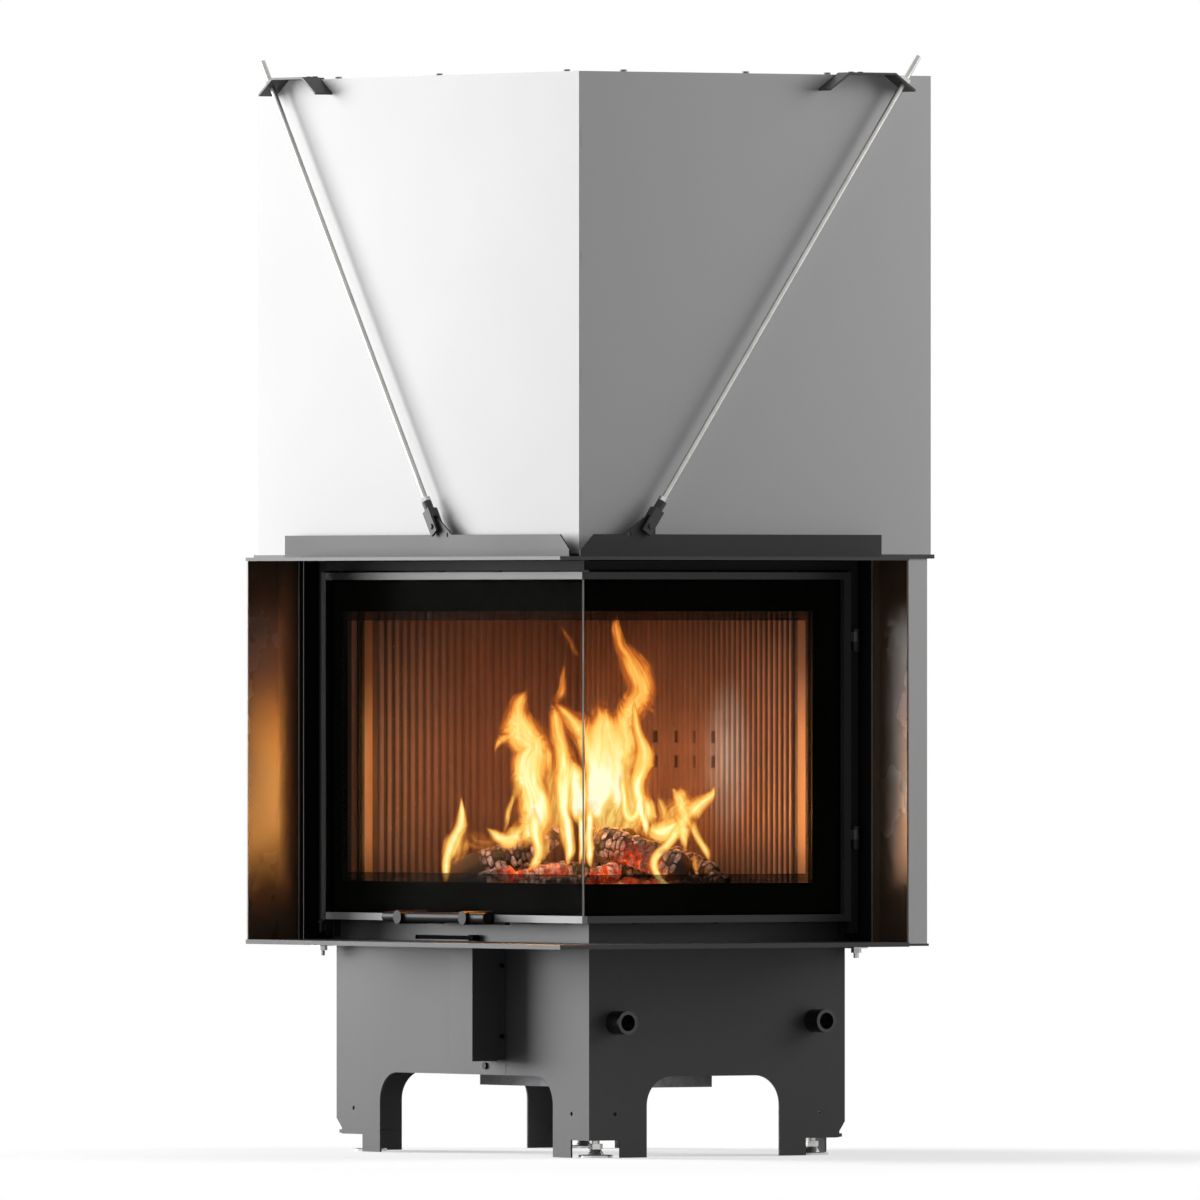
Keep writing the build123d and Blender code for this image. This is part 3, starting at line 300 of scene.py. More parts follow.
def painted_sheet(name, colour, rough, specular, grain_size, grain_depth, variation, darkening=0.0, blackened=None,
                  painted_light=None):
    """Powder coat on sheet: fine grain, faint clouds in its colour, uneven sheen, black where a mask is 1,
    paler with painted light where another is 1.
    """
    material, tree, shader = new_material(name)
    clouds = noise(tree, place(tree), 2.2, 4.0, 0.6)
    speckle = noise(tree, place(tree), 1.0 / grain_size, 2.0, 0.6)
    low, high = 1.0 - variation, 1.0 + variation
    base = ramp(tree, clouds, [(0.3, scaled(colour, low)), (0.7, scaled(colour, high))])
    base = tinted(tree, base, ramp(tree, speckle, [(0.3, low), (0.7, high)]))
    if darkening:
        film = noise(tree, place(tree, (1, 1, 0.35)), 6.0, 5.0, 0.65)
        base = tinted(tree, base, ramp(tree, film, [(0.45, 1.0), (0.75, 1.0 - darkening)]))
    # Painted light: where this mask is 1 the colour is lifted several times
    if painted_light:
        base = mix(tree, painted_light(tree), base, scaled(colour, RAIL_PAINTED_LIGHT))
    # Black where this mask is 1: painted shade in some finishes, black parts in others
    if blackened:
        mask = blackened(tree)
        base = mix(tree, mask, base, BLACK)
        feed(tree, shader, {"Specular Tint": mix(tree, mask, grey(1.0), grey(0.04))})
    feed(tree, shader, {
        "Base Color": base,
        "Roughness": ramp(tree, clouds, [(0.25, rough * 0.9), (0.75, min(1.0, rough * 1.1))]),
        "Specular IOR Level": specular,
        "Normal": bump(tree, speckle, grain_depth)})
    return material


def wing_sheet():
    """Black satin sheet mirroring the fire softly, in painted fire glow; painted shade at its inner end; black
    hem, painted highlight on its bend.
    """
    material, tree, shader = new_material("black_satin_sheet")
    clouds = noise(tree, place(tree), 5.0, 4.0, 0.6)
    grain = noise(tree, place(tree, (1, 1, 0.3)), 800.0, 2.0, 0.6)
    # The black sheet is tinted warm brown: painted fire glow
    base = ramp(tree, clouds, [(0.3, (0.048, 0.028, 0.016)), (0.7, (0.066, 0.039, 0.022))])
    base = tinted(tree, base, ramp(tree, grain, [(0.3, 0.94), (0.7, 1.06)]))
    on_left = below(tree, "X", 0.0)
    # Painted highlight: a thin pale band along the bend beside each hem
    left_bend_highlight = times(tree, on_left, between(tree, "Y", WING_HEM_Y - BEND_HIGHLIGHT_WIDTH, WING_HEM_Y))
    step = larger(tree, left_bend_highlight, between(tree, "X", WING_HEM_X, WING_HEM_X + BEND_HIGHLIGHT_WIDTH))
    base = mix(tree, step, base, (0.6, 0.58, 0.55))
    left_hem = times(tree, on_left, above(tree, "Y", WING_HEM_Y))
    hem = larger(tree, left_hem, between(tree, "X", REAR_WING_X, WING_HEM_X))
    base = mix(tree, hem, base, BLACK)
    # Painted shade: towards the inner ends the sheet gets rougher and its reflection darkened, where the door
    # frame shades it
    left_end_shade = times(tree, on_left, spread(tree, "Y", *END_SHADE_Y))
    end_shade = larger(tree, left_end_shade, times(tree, above(tree, "X", REAR_WING_X), spread(tree, "X", *END_SHADE_X)))
    satin = ramp(tree, clouds, [(0.25, 0.24), (0.75, 0.29)])
    feed(tree, shader, {
        "Base Color": base,
        "Roughness": plus(tree, satin, times(tree, end_shade, 0.55)),
        "Specular IOR Level": 0.46,
        "Specular Tint": mix(tree, end_shade, grey(1.0), (0.12, 0.10, 0.08)),
        "Normal": bump(tree, grain, 0.00003)})
    return material


def plated_steel(name, colour, rough, brush=(1, 1, 1), scale=900.0):
    """Zinc-plated or bright steel with a brushed direction and faint spots."""
    material, tree, shader = new_material(name)
    streak = noise(tree, place(tree, brush), scale, 3.0, 0.6)
    spots = noise(tree, place(tree), 35.0, 5.0, 0.7)
    base = ramp(tree, streak, [(0.3, scaled(colour, 0.8)), (0.7, scaled(colour, 1.1))])
    feed(tree, shader, {
        "Base Color": tinted(tree, base, ramp(tree, spots, [(0.35, 0.82), (0.6, 1.0)])),
        "Roughness": ramp(tree, spots, [(0.3, rough * 1.35), (0.65, rough * 0.85)]),
        "Metallic": 1.0,
        "Normal": bump(tree, streak, 0.00004)})
    return material


def cast_surface(name, colour, rough, grain):
    """Raw cast iron or pressed mineral board: coarse lumps under a fine tooth."""
    material, tree, shader = new_material(name)
    coarse = noise(tree, place(tree), 60.0, 6.0, 0.65)
    fine = noise(tree, place(tree), 700.0, 2.0, 0.5)
    base = ramp(tree, coarse, [(0.3, scaled(colour, 0.7)), (0.55, colour), (0.8, scaled(colour, 1.25))])
    feed(tree, shader, {
        "Base Color": base,
        "Roughness": ramp(tree, fine, [(0.3, rough * 0.9), (0.7, min(1.0, rough * 1.1))]),
        "Specular IOR Level": 0.3,
        "Normal": bump(tree, plus(tree, coarse, times(tree, fine, 0.4)), grain)})
    return material


# Ribbed linings


def off_middle(tree, axis, first, pitch):
    """Distance from the middle of the cell, in a row of cells."""
    cell = maths(tree, "FLOORED_MODULO", minus(tree, coordinate(tree, axis), first), pitch)
    return maths(tree, "ABSOLUTE", minus(tree, cell, pitch / 2))


def port_shade(tree):
    """Painted shade in the eight air ports."""
    column = maths(tree, "LESS_THAN", off_middle(tree, "X", PORTS_X[0], PORT_PITCH[0]), PORT_EDGE[0])
    row = maths(tree, "LESS_THAN", off_middle(tree, "Z", PORTS_Z[0], PORT_PITCH[1]), PORT_EDGE[1])
    field = times(tree, between(tree, "X", *PORTS_X), between(tree, "Z", *PORTS_Z))
    field = times(tree, field, above(tree, "Y", REAR_WALL_Y))
    return times(tree, times(tree, times(tree, column, row), field), 0.42)


def groove_shade(tree, in_left, flats):
    """Painted shade in the ribs' grooves: thinner in the far corner and round the air ports, none on the
    flats.
    """
    left = plus(tree, 0.16, times(tree, spread(tree, "Y", *LEFT_TOWARDS_GLASS_Y), 0.62))
    left = times(tree, spread(tree, "X", LEFT_CREST_X, LEFT_CREST_X - RIB_DEPTH), left)
    rear = plus(tree, 0.12, times(tree, spread(tree, "X", *REAR_TOWARDS_GLASS_X), 0.66))
    rear = times(tree, spread(tree, "Y", REAR_CREST_Y, REAR_CREST_Y + RIB_DEPTH), rear)
    darkening = times(tree, mix(tree, in_left, rear, left), minus(tree, 1.0, flats))
    near_ports = times(tree, between(tree, "X", *PORT_FIELD_X), between(tree, "Z", *PORT_FIELD_Z))
    return times(tree, darkening, minus(tree, 1.0, times(tree, near_ports, 0.8)))


def hot_spot_sheen(tree):
    """Painted highlight on the rear wall where the fire's sheen falls, fading outwards."""
    spot = add(tree, "ShaderNodeTexCoord").outputs["Object"]
    for operation, by in (("SUBTRACT", SHEEN_SPOT), ("MULTIPLY", SHEEN_FALL)):
        spot = add(tree, "ShaderNodeVectorMath", {0: spot, 1: by}, operation=operation).outputs["Vector"]
    away = add(tree, "ShaderNodeVectorMath", {0: spot}, operation="LENGTH").outputs["Value"]
    fade = ramp(tree, away, [(0.0, 0.85), (0.5, 0.40), (1.0, 0.0)], "EASE")
    return times(tree, fade, above(tree, "Y", REAR_WALL_Y))


def lining_board():
    """Warm brown ribbed board: painted fire light, darker towards the top; painted shade in the grooves;
    painted fire reflection on the flats.
    """
    material, tree, shader = new_material("ribbed_lining_board")
    height = spread(tree, "Z", *LINING_Z)
    streaks = noise(tree, place(tree, (1, 1, 0.05)), 55.0, 3.0, 0.6)
    clouds = noise(tree, place(tree), 9.0, 5.0, 0.6)
    # Painted fire light: brightest at mid-height, darker towards the top and the bottom
    base = ramp(tree, height, [
        (0.0, (0.27, 0.125, 0.066)), (0.22, (0.36, 0.158, 0.080)), (0.5, (0.36, 0.150, 0.074)),
        (0.78, (0.24, 0.095, 0.045)), (1.0, (0.12, 0.050, 0.026))])
    in_left = below(tree, "X", LEFT_CREST_X + 0.0015)
    # Painted light: a pale blue-grey tint of the studio light on the left wall towards the glass, more of it
    # higher up
    room_light = ramp(tree, height, [(0.0, 0.4), (0.7, 0.85)])
    room_light = times(tree, times(tree, in_left, spread(tree, "Y", *LEFT_TOWARDS_GLASS_Y)), room_light)
    base = mix(tree, room_light, base, tinted(tree, base, (0.62, 0.86, 1.15)))
    # Painted highlight of the fire's sheen on the rear wall
    base = mix(tree, hot_spot_sheen(tree), base, (0.54, 0.42, 0.35))
    flats = larger(tree, below(tree, "Y", LEFT_FLAT_Y), above(tree, "X", REAR_FLAT_X))
    # Painted shade in the grooves of the ribs
    base = mix(tree, groove_shade(tree, in_left, flats), base, (0.012, 0.008, 0.006))
    # Painted shade in the air ports
    base = mix(tree, port_shade(tree), base, (0.035, 0.020, 0.014))
    # Painted reflection of the fire on the flats beside the glass, strongest in the lower half, fading to the
    # top
    glow = ramp(tree, height, [(0.0, 0.35), (0.2, 1.0), (0.5, 1.0), (0.8, 0.12), (1.0, 0.0)], "EASE")
    base = mix(tree, flats, base, mix(tree, glow, (0.10, 0.045, 0.022), (0.62, 0.285, 0.11)))
    base = tinted(tree, base, ramp(tree, streaks, [(0.3, 0.82), (0.7, 1.1)]))
    base = tinted(tree, base, ramp(tree, clouds, [(0.3, 0.85), (0.7, 1.1)]))
    feed(tree, shader, {
        "Base Color": base,
        "Roughness": ramp(tree, clouds, [(0.3, 0.38), (0.7, 0.46)]),
        "Specular IOR Level": 0.10,
        "Normal": bump(tree, noise(tree, place(tree), 500.0, 3.0, 0.6), 0.0001)})
    return material


# Panes, seal and ropes


def clear_pane():
    """Clear glass ceramic with a very low reflection."""
    material, tree, shader = new_material("clear_glass_ceramic")
    smear = noise(tree, place(tree, (1, 1, 0.4)), 14.0, 4.0, 0.6)
    feed(tree, shader, {
        "Base Color": ramp(tree, smear, [(0.4, (0.97, 0.965, 0.95)), (0.8, (0.93, 0.92, 0.90))]),
        "Transmission Weight": 1.0,
        "Roughness": 0.0,
        "IOR": 1.01})
    return material


def polished_edge():
    """Ground edge of the pane: slightly frosted, dark where it is worn."""
    material, tree, shader = new_material("polished_glass_edge")
    wear = noise(tree, place(tree, (1, 1, 0.2)), 60.0, 4.0, 0.7)
    feed(tree, shader, {
        "Base Color": ramp(tree, wear, [
            (0.35, (0.06, 0.048, 0.040)), (0.55, (0.17, 0.14, 0.12)), (0.75, (0.30, 0.26, 0.23))]),
        "Roughness": 0.4,
        "Specular IOR Level": 0.06,
        "Normal": bump(tree, wear, 0.00005)})
    return material


def printed_enamel():
    """Black enamel fired on the inside of the glass."""
    material, tree, shader = new_material("printed_black_enamel")
    dots = specks(tree, 900.0)
    clouds = noise(tree, place(tree), 5.0, 3.0, 0.5)
    feed(tree, shader, {
        "Base Color": ramp(tree, clouds, [(0.3, (0.0010, 0.0010, 0.0009)), (0.7, (0.0020, 0.0020, 0.0018))]),
        "Roughness": ramp(tree, dots, [(0.0, 0.55), (0.6, 0.7)]),
        "Specular IOR Level": 0.003,
        "Normal": bump(tree, dots, 0.00001)})
    return material


def dotted_enamel():
    """Fine enamel dots beside the solid print, through which the fire still shows."""
    material, tree, shader = new_material("dotted_black_enamel")
    dots = specks(tree, 800.0)
    feed(tree, shader, {
        "Base Color": ramp(tree, dots, [(0.2, (0.002, 0.002, 0.002)), (0.7, (0.012, 0.011, 0.010))]),
        "Alpha": ramp(tree, dots, [(0.25, 0.62), (0.75, 0.36)]),
        "Roughness": 0.7,
        "Specular IOR Level": 0.003})
    return material


def woven_rope():
    """Woven glass-fibre rope, dark brown."""
    material, tree, shader = new_material("woven_seal_rope")
    weave = strands(tree, place(tree, turn=(0.6, 0.6, 0.8)), 160.0, 2.0)
    feed(tree, shader, {
        "Base Color": ramp(tree, weave, [(0.2, (0.014, 0.008, 0.005)), (0.8, (0.085, 0.036, 0.018))]),
        "Roughness": ramp(tree, weave, [(0.2, 0.95), (0.8, 0.8)]),
        "Normal": bump(tree, weave, 0.0008)})
    return material


def stranded_wire():
    """Steel wire rope with its twisted strands."""
    material, tree, shader = new_material("stranded_lift_rope")
    twist = strands(tree, place(tree, (1, 1, 0.6)), 220.0, 1.0)
    feed(tree, shader, {
        "Base Color": ramp(tree, twist, [(0.2, 0.08), (0.7, 0.42)]),
        "Roughness": ramp(tree, twist, [(0.2, 0.6), (0.8, 0.35)]),
        "Metallic": 1.0,
        "Normal": bump(tree, twist, 0.0004)})
    return material


# Wood, embers and flames


def charred_wood():
    """Charred log: dark cracks, ash-beige block tops tinted pink by painted fire light, and a red glow near
    the hot spots.
    """
    material, tree, shader = new_material("charred_wood")
    crack, heat = uv_pair(tree, "char")
    ash = noise(tree, place(tree), 110.0, 5.0, 0.7)
    patch = noise(tree, place(tree), 20.0, 3.0, 0.6)
    # Real ash, its pink-beige partly painted fire light
    base = ramp(tree, ash, [
        (0.36, (0.17, 0.09, 0.065)), (0.50, (0.44, 0.27, 0.20)), (0.64, (0.80, 0.60, 0.49))])
    base = mix(tree, ramp(tree, crack, [(0.28, 0.0), (0.62, 1.0)]), base, (0.012, 0.009, 0.008))
    base = mix(tree, ramp(tree, patch, [(0.48, 0.0), (0.62, 0.8)]), base, (0.020, 0.016, 0.013))
    glow = times(tree, ramp(tree, crack, [(0.20, 0.14), (0.85, 1.0)]), heat)
    glow = times(tree, glow, ramp(tree, ash, [(0.38, 0.25), (0.64, 1.15)]))
    feed(tree, shader, {
        "Base Color": base,
        "Roughness": 0.85,
        "Specular IOR Level": 0.3,
        "Emission Color": ramp(tree, glow, [
            (0.0, (0.0, 0.0, 0.0)), (0.15, (0.10, 0.006, 0.001)), (0.45, (0.50, 0.030, 0.006)),
            (0.75, (0.95, 0.15, 0.02)), (1.0, (1.0, 0.60, 0.16))]),
        "Emission Strength": 1.35,
        "Normal": bump(tree, plus(tree, ash, times(tree, patch, 0.5)), 0.0010)})
    return material


def glowing_ember():
    """Ember pieces: ash-grey crust over an orange-red core."""
    material, tree, shader = new_material("glowing_ember")
    crust = noise(tree, place(tree), 95.0, 5.0, 0.7)
    lumps = noise(tree, place(tree), 30.0, 2.0, 0.5)
    base = ramp(tree, crust, [
        (0.36, (0.03, 0.020, 0.016)), (0.52, (0.16, 0.10, 0.08)), (0.70, (0.50, 0.38, 0.32))])
    base = mix(tree, ramp(tree, lumps, [(0.50, 0.0), (0.60, 0.85)]), base, (0.022, 0.017, 0.015))
    glow = times(tree, ramp(tree, crust, [(0.44, 1.0), (0.62, 0.2)]), uv_pair(tree, "char")[1])
    feed(tree, shader, {
        "Base Color": base,
        "Roughness": 0.9,
        "Emission Color": ramp(tree, glow, [
            (0.0, (0.0, 0.0, 0.0)), (0.15, (0.16, 0.007, 0.001)), (0.5, (0.70, 0.045, 0.008)),
            (0.8, (1.0, 0.26, 0.04)), (1.0, (1.0, 0.74, 0.28))]),
        "Emission Strength": 1.6,
        "Normal": bump(tree, crust, 0.0016)})
    return material


def flame_sway(tree, thickness):
    """Streaks along the flow and billows, fading to none at the rim."""
    flow = add(tree, "ShaderNodeUVMap", uv_map="flow").outputs["UV"]
    flow = add(tree, "ShaderNodeMapping", {"Vector": flow, "Scale": (1, 0.10, 1)}).outputs["Vector"]
    streak = times(tree, minus(tree, noise(tree, flow, 0.16, 3.0, 0.55, 0.3), 0.54), 1.10)
    billow = noise(tree, place(tree, (1, 1, 0.4)), 34.0, 3.0, 0.6, 0.8)
    sway = plus(tree, streak, times(tree, minus(tree, billow, 0.54), 0.80))
    return times(tree, sway, ramp(tree, thickness, [(0.0, 0.0), (0.25, 1.0), (1.0, 0.7)]))


def flame_light():
    """Flame: yellow-white inside, orange towards its edge, clear at its rim, streaked along its flow."""
    material, tree, output = bare_material("flame_light")
    thickness, warmth = uv_pair(tree, "heat")
    sway = flame_sway(tree, thickness)
    colour = ramp(tree, plus(tree, warmth, sway), [
        (0.0, (0.50, 0.12, 0.018)), (0.16, (0.78, 0.24, 0.034)), (0.34, (0.92, 0.40, 0.062)),
        (0.54, (0.96, 0.58, 0.125)), (0.74, (0.985, 0.76, 0.23)), (0.90, (1.0, 0.90, 0.42)),
        (1.0, (1.0, 0.97, 0.66))])
    path = add(tree, "ShaderNodeLightPath")
    mirrored = maths(tree, "MINIMUM", path.outputs["Glossy Depth"], 1.0)
    light = add(tree, "ShaderNodeEmission", {
        "Color": mix(tree, mirrored, colour, tinted(tree, colour, (1.0, 0.62, 0.34))),
        "Strength": plus(tree, times(tree, mirrored, MIRRORED_FIRE - 1.0), FLAME_STRENGTH)})
    density = ramp(tree, plus(tree, thickness, sway), [
        (0.02, 0.0), (0.16, 0.09), (0.34, 0.24), (0.56, 0.44), (0.90, 0.60)])
    clear = add(tree, "ShaderNodeBsdfTransparent")
    blend = add(tree, "ShaderNodeMixShader", {0: density, 1: clear.outputs[0], 2: light.outputs[0]})
    feed(tree, output, {"Surface": blend.outputs[0]})
    material.cycles.emission_sampling = "NONE"
    return material


# Masks, 1 where the paint goes black, mostly as painted shade, or paler with painted light


def shaded_channel_faces(tree):
    """Faces of the wells towards the door's channel, painted black as the shade in the channel."""
    return times(tree, above(tree, "X", WELL_INNER_X), below(tree, "Y", WELL_INNER_Y))


def shaded_left_stile(tree):
    """Left end stile of the door, painted black as the shade that the left wing casts on it."""
    return below(tree, "X", SHADED_STILE_X)


def shaded_behind_door(tree):
    """Face frame above the door's lower edge, painted black as the shade behind the door."""
    return above(tree, "Z", SHADED_FRAME_Z)


def lit_low_rail(tree):
    """Front of the door's lower rail, which gets painted light."""
    low = below(tree, "Z", (DOOR_LOW + RAIL + RAIL_MARGIN) * MM)
    return times(tree, low, below(tree, "Y", (FRONT_Y + DOOR_FACE + RAIL_FACE) * MM))


def low_screws(tree):
    """Screws of the casing below the door's top."""
    return below(tree, "Z", LOW_SCREWS_Z)


# Finishes: colour, roughness, specular level, size and depth of the grain, variation
LIGHT_GREY = (grey(0.785), 0.55, 0.25, 0.0016, 0.00003, 0.012)
GRAPHITE = ((0.050, 0.050, 0.051), 0.41, 0.32, 0.0013, 0.00012, 0.14)

casing_paint = painted_sheet("light_grey_casing_paint", *LIGHT_GREY)
# Painted shade on the wells' faces towards the door's channel
well_paint = painted_sheet("light_grey_well_paint", *LIGHT_GREY, blackened=shaded_channel_faces)
graphite_paint = painted_sheet("graphite_powder_coat", *GRAPHITE)
# Painted shade: the face frame goes black behind the door
shaded_frame_paint = painted_sheet("frame_coat_painted_shade", *GRAPHITE, blackened=shaded_behind_door)
# Painted shade on the left stile, painted light on the front of the lower rail
door_paint = painted_sheet("dark_door_steel", grey(0.040), 0.38, 0.36, 0.0009, 0.00004, 0.08,
                           blackened=shaded_left_stile, painted_light=lit_low_rail)
lintel_paint = painted_sheet("graphite_lintel_coat", (0.042, 0.042, 0.043), 0.42, 0.21, 0.0013, 0.00010, 0.10)
black_paint = painted_sheet("black_matt_sheet", grey(0.010), 0.55, 0.15, 0.0012, 0.00006, 0.15)
channel_paint = painted_sheet("sooted_channel_steel", grey(0.030), 0.6, 0.15, 0.0012, 0.00006, 0.2, darkening=0.4)
handle_paint = painted_sheet("handle_black_coat", grey(0.012), 0.36, 0.10, 0.0007, 0.00003, 0.08)
# Black for the knob; on the slide plate behind the slot this black is painted shade of the slot
knob_black_and_slot_shade = painted_sheet("black_slot_sheet", grey(0.006), 0.6, 0.01, 0.0012, 0.00006, 0.15)
socket_steel = painted_sheet("blackened_tube_steel", (0.035, 0.035, 0.036), 0.38, 0.5, 0.0010, 0.00004, 0.15)
screw_steel = painted_sheet("screw_steel", grey(0.42), 0.40, 0.45, 0.0007, 0.00003, 0.08,
                            blackened=low_screws)
clevis_steel = painted_sheet("dark_clevis_steel", (0.075, 0.075, 0.077), 0.48, 0.25, 0.0009, 0.00005, 0.12)
wing_paint = wing_sheet()
tube_steel = plated_steel("burnished_tube_steel", (0.060, 0.060, 0.061), 0.30, (0.2, 1, 1))
galvanised = plated_steel("galvanised_sheet", (0.34, 0.34, 0.35), 0.5, scale=45.0)
zinc = plated_steel("zinc_plated_steel", (0.62, 0.61, 0.60), 0.28, (1, 1, 6))
rod_steel = plated_steel("zinc_plated_rod", (0.50, 0.49, 0.47), 0.36, (6, 6, 1))
weight_iron = cast_surface("raw_cast_iron", (0.10, 0.095, 0.09), 0.75, 0.0006)
hearth_board = cast_surface("ashy_hearth_board", (0.20, 0.14, 0.10), 0.9, 0.0008)
lining = lining_board()
glass = clear_pane()
glass_edge = polished_edge()
enamel = printed_enamel()
enamel_dots = dotted_enamel()
seal_fibre = woven_rope()
wire = stranded_wire()
char = charred_wood()
ember = glowing_ember()
flame = flame_light()

# Which CAD pieces wear which finish
ZINC_SETS = ("pulley_left_", "pulley_rear_", "roller_", "levelling_foot_")
FINISHES = {
    casing_paint: ["casing_front_panel", "casing_side_panel", "casing_inner_wall", "casing_cap"],
    well_paint: ["rear_well", "left_well"],
    graphite_paint: ["plinth_corner_panel", "plinth_front_panel", "plinth_rear_panel", "control_cover",
                     "bottom_flange", "top_flange", "support_ledge", "base_plate", "rod_brackets"],
    shaded_frame_paint: ["face_frame"],
    lintel_paint: ["lintel_angles"],
    door_paint: ["door_frame"],
    wing_paint: ["left_wing", "rear_wing"],
    knob_black_and_slot_shade: ["air_slide", "air_knob"],
    tube_steel: ["carrying_sockets"],
    channel_paint: ["guide_rails", "carriage_frame", "firebox_body", "pulley_brackets"],
    handle_paint: ["handle_bar", "handle_posts"],
    socket_steel: ["smoke_hood", "flue_collar"],
    galvanised: ["air_box", "air_inlet_collar"],
    screw_steel: ["casing_screws"],
    clevis_steel: ["rod_clevises"],
    zinc: ["flange_studs", "rod_nuts", *(name for name in nodes if name.startswith(ZINC_SETS))],
    rod_steel: ["tension_rods"],
    wire: ["lift_ropes"],
    weight_iron: ["counterweight_left", "counterweight_rear"],
    lining: ["lining_back", "lining_left"],
    hearth_board: ["hearth_floor", "baffle"],
    glass: ["glass_front", "glass_side"],
    seal_fibre: ["door_seal"],
}
for material, names in FINISHES.items():
    for name in names:
        slots = nodes[name].data.materials
        slots.clear()
        slots.append(material)


# Mesh helpers


def new_piece(name, mesh, material, body):
    """Object at the origin that moves with a CAD body."""
    piece = bpy.data.objects.new(name, mesh)
    bpy.context.scene.collection.objects.link(piece)
    if not mesh.materials:
        mesh.materials.append(material)
    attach(piece, body)
    return piece


def mesh_from(name, verts, faces, smooth=False):
    mesh = bpy.data.meshes.new(name)
    mesh.from_pydata([tuple(v) for v in verts], [], faces)
    mesh.update()
    if smooth:
        mesh.shade_smooth()
    return mesh


def mesh_of(name, build):
    """Mesh of what was built, which is then let go."""
    mesh = bpy.data.meshes.new(name)
    build.to_mesh(mesh)
    build.free()
    return mesh


def carry(mesh, name, first, second):
    """Stores two values per vertex in a UV map, for the piece's material."""
    corners = np.zeros(len(mesh.loops), np.int32)
    mesh.loops.foreach_get("vertex_index", corners)
    pairs = np.stack([np.asarray(values, np.float32)[corners] for values in (first, second)], axis=1)
    mesh.uv_layers.new(name=name).data.foreach_set("uv", np.ascontiguousarray(pairs).ravel())


def box_points(u, v, z):
    """Corners of a box between two side insets, two front insets and two heights."""
    low = at(max(u), min(v), min(z))
    high = at(min(u), max(v), max(z))
    return [Vector((x, y, w)) for w in (low.z, high.z) for y in (low.y, high.y) for x in (low.x, high.x)]


BOX_FACES = [(0, 2, 3, 1), (4, 5, 7, 6), (0, 1, 5, 4), (2, 6, 7, 3), (0, 4, 6, 2), (1, 3, 7, 5)]


def boxes_mesh(name, boxes, bevel=0.0):
    """Several boxes as one mesh, their edges eased."""
    build = bmesh.new()
    for u, v, z in boxes:
        corners = [build.verts.new(p) for p in box_points(u, v, z)]
        for face in BOX_FACES:
            build.faces.new([corners[i] for i in face])
    if bevel:
        bmesh.ops.bevel(build, geom=build.edges[:], offset=bevel * MM, segments=2, affect="EDGES")
    bmesh.ops.recalc_face_normals(build, faces=build.faces[:])
    return mesh_of(name, build)


# Print, dots and ground edge of the panes


def front_box(along, heights):
    return along, PRINT_LAYER, heights


def side_box(along, heights):
    return PRINT_LAYER, along, heights


def border(pane_box, whole, end, low, high, gap=0.0):
    """Strips along a pane's bottom, its top and its outer end."""
    return [pane_box(whole, low), pane_box(whole, high), pane_box(end, (low[1] + gap, high[0] - gap))]


print_low = DOOR_LOW + RAIL + PRINT_BAND
print_high = DOOR_TOP - RAIL - PRINT_BAND
print_end_v = DOOR_END_V - STILE - PRINT_END
bands = ((GLASS_Z[0], print_low), (print_high, GLASS_Z[1]))
print_boxes = border(front_box, (PRINT_LAYER[0], PRINT_OUTER_U), (PRINT_LEFT_U, PRINT_OUTER_U), *bands)
print_boxes += border(side_box, (PRINT_LAYER[1], PRINT_OUTER_V), (print_end_v, PRINT_OUTER_V), *bands)
new_piece("glass_print", boxes_mesh("glass_print", print_boxes, 0.05), enamel, "door_leaf")

fringes = ((print_low + DOTS_GAP, print_low + DOTS_BAND), (print_high - DOTS_BAND, print_high - DOTS_GAP))
dots_boxes = []
for pane_box, edge in ((front_box, PRINT_LEFT_U), (side_box, print_end_v)):
    whole = (PRINT_LAYER[1] + 2 * DOTS_GAP, edge - DOTS_GAP)
    dots_boxes += border(pane_box, whole, (edge - DOTS_BAND, edge - DOTS_GAP), *fringes, DOTS_GAP)
new_piece("glass_print_dots", boxes_mesh("glass_print_dots", dots_boxes), enamel_dots, "door_leaf")

edge_box = ((GLASS_V, GLASS_V + GLASS_T), (GLASS_V - EDGE_PROUD, GLASS_V), GLASS_Z)
new_piece("glass_corner_edge", boxes_mesh("glass_corner_edge", [edge_box], 0.08), glass_edge, "door_leaf")


# Screws in the door's rails, by geometry nodes


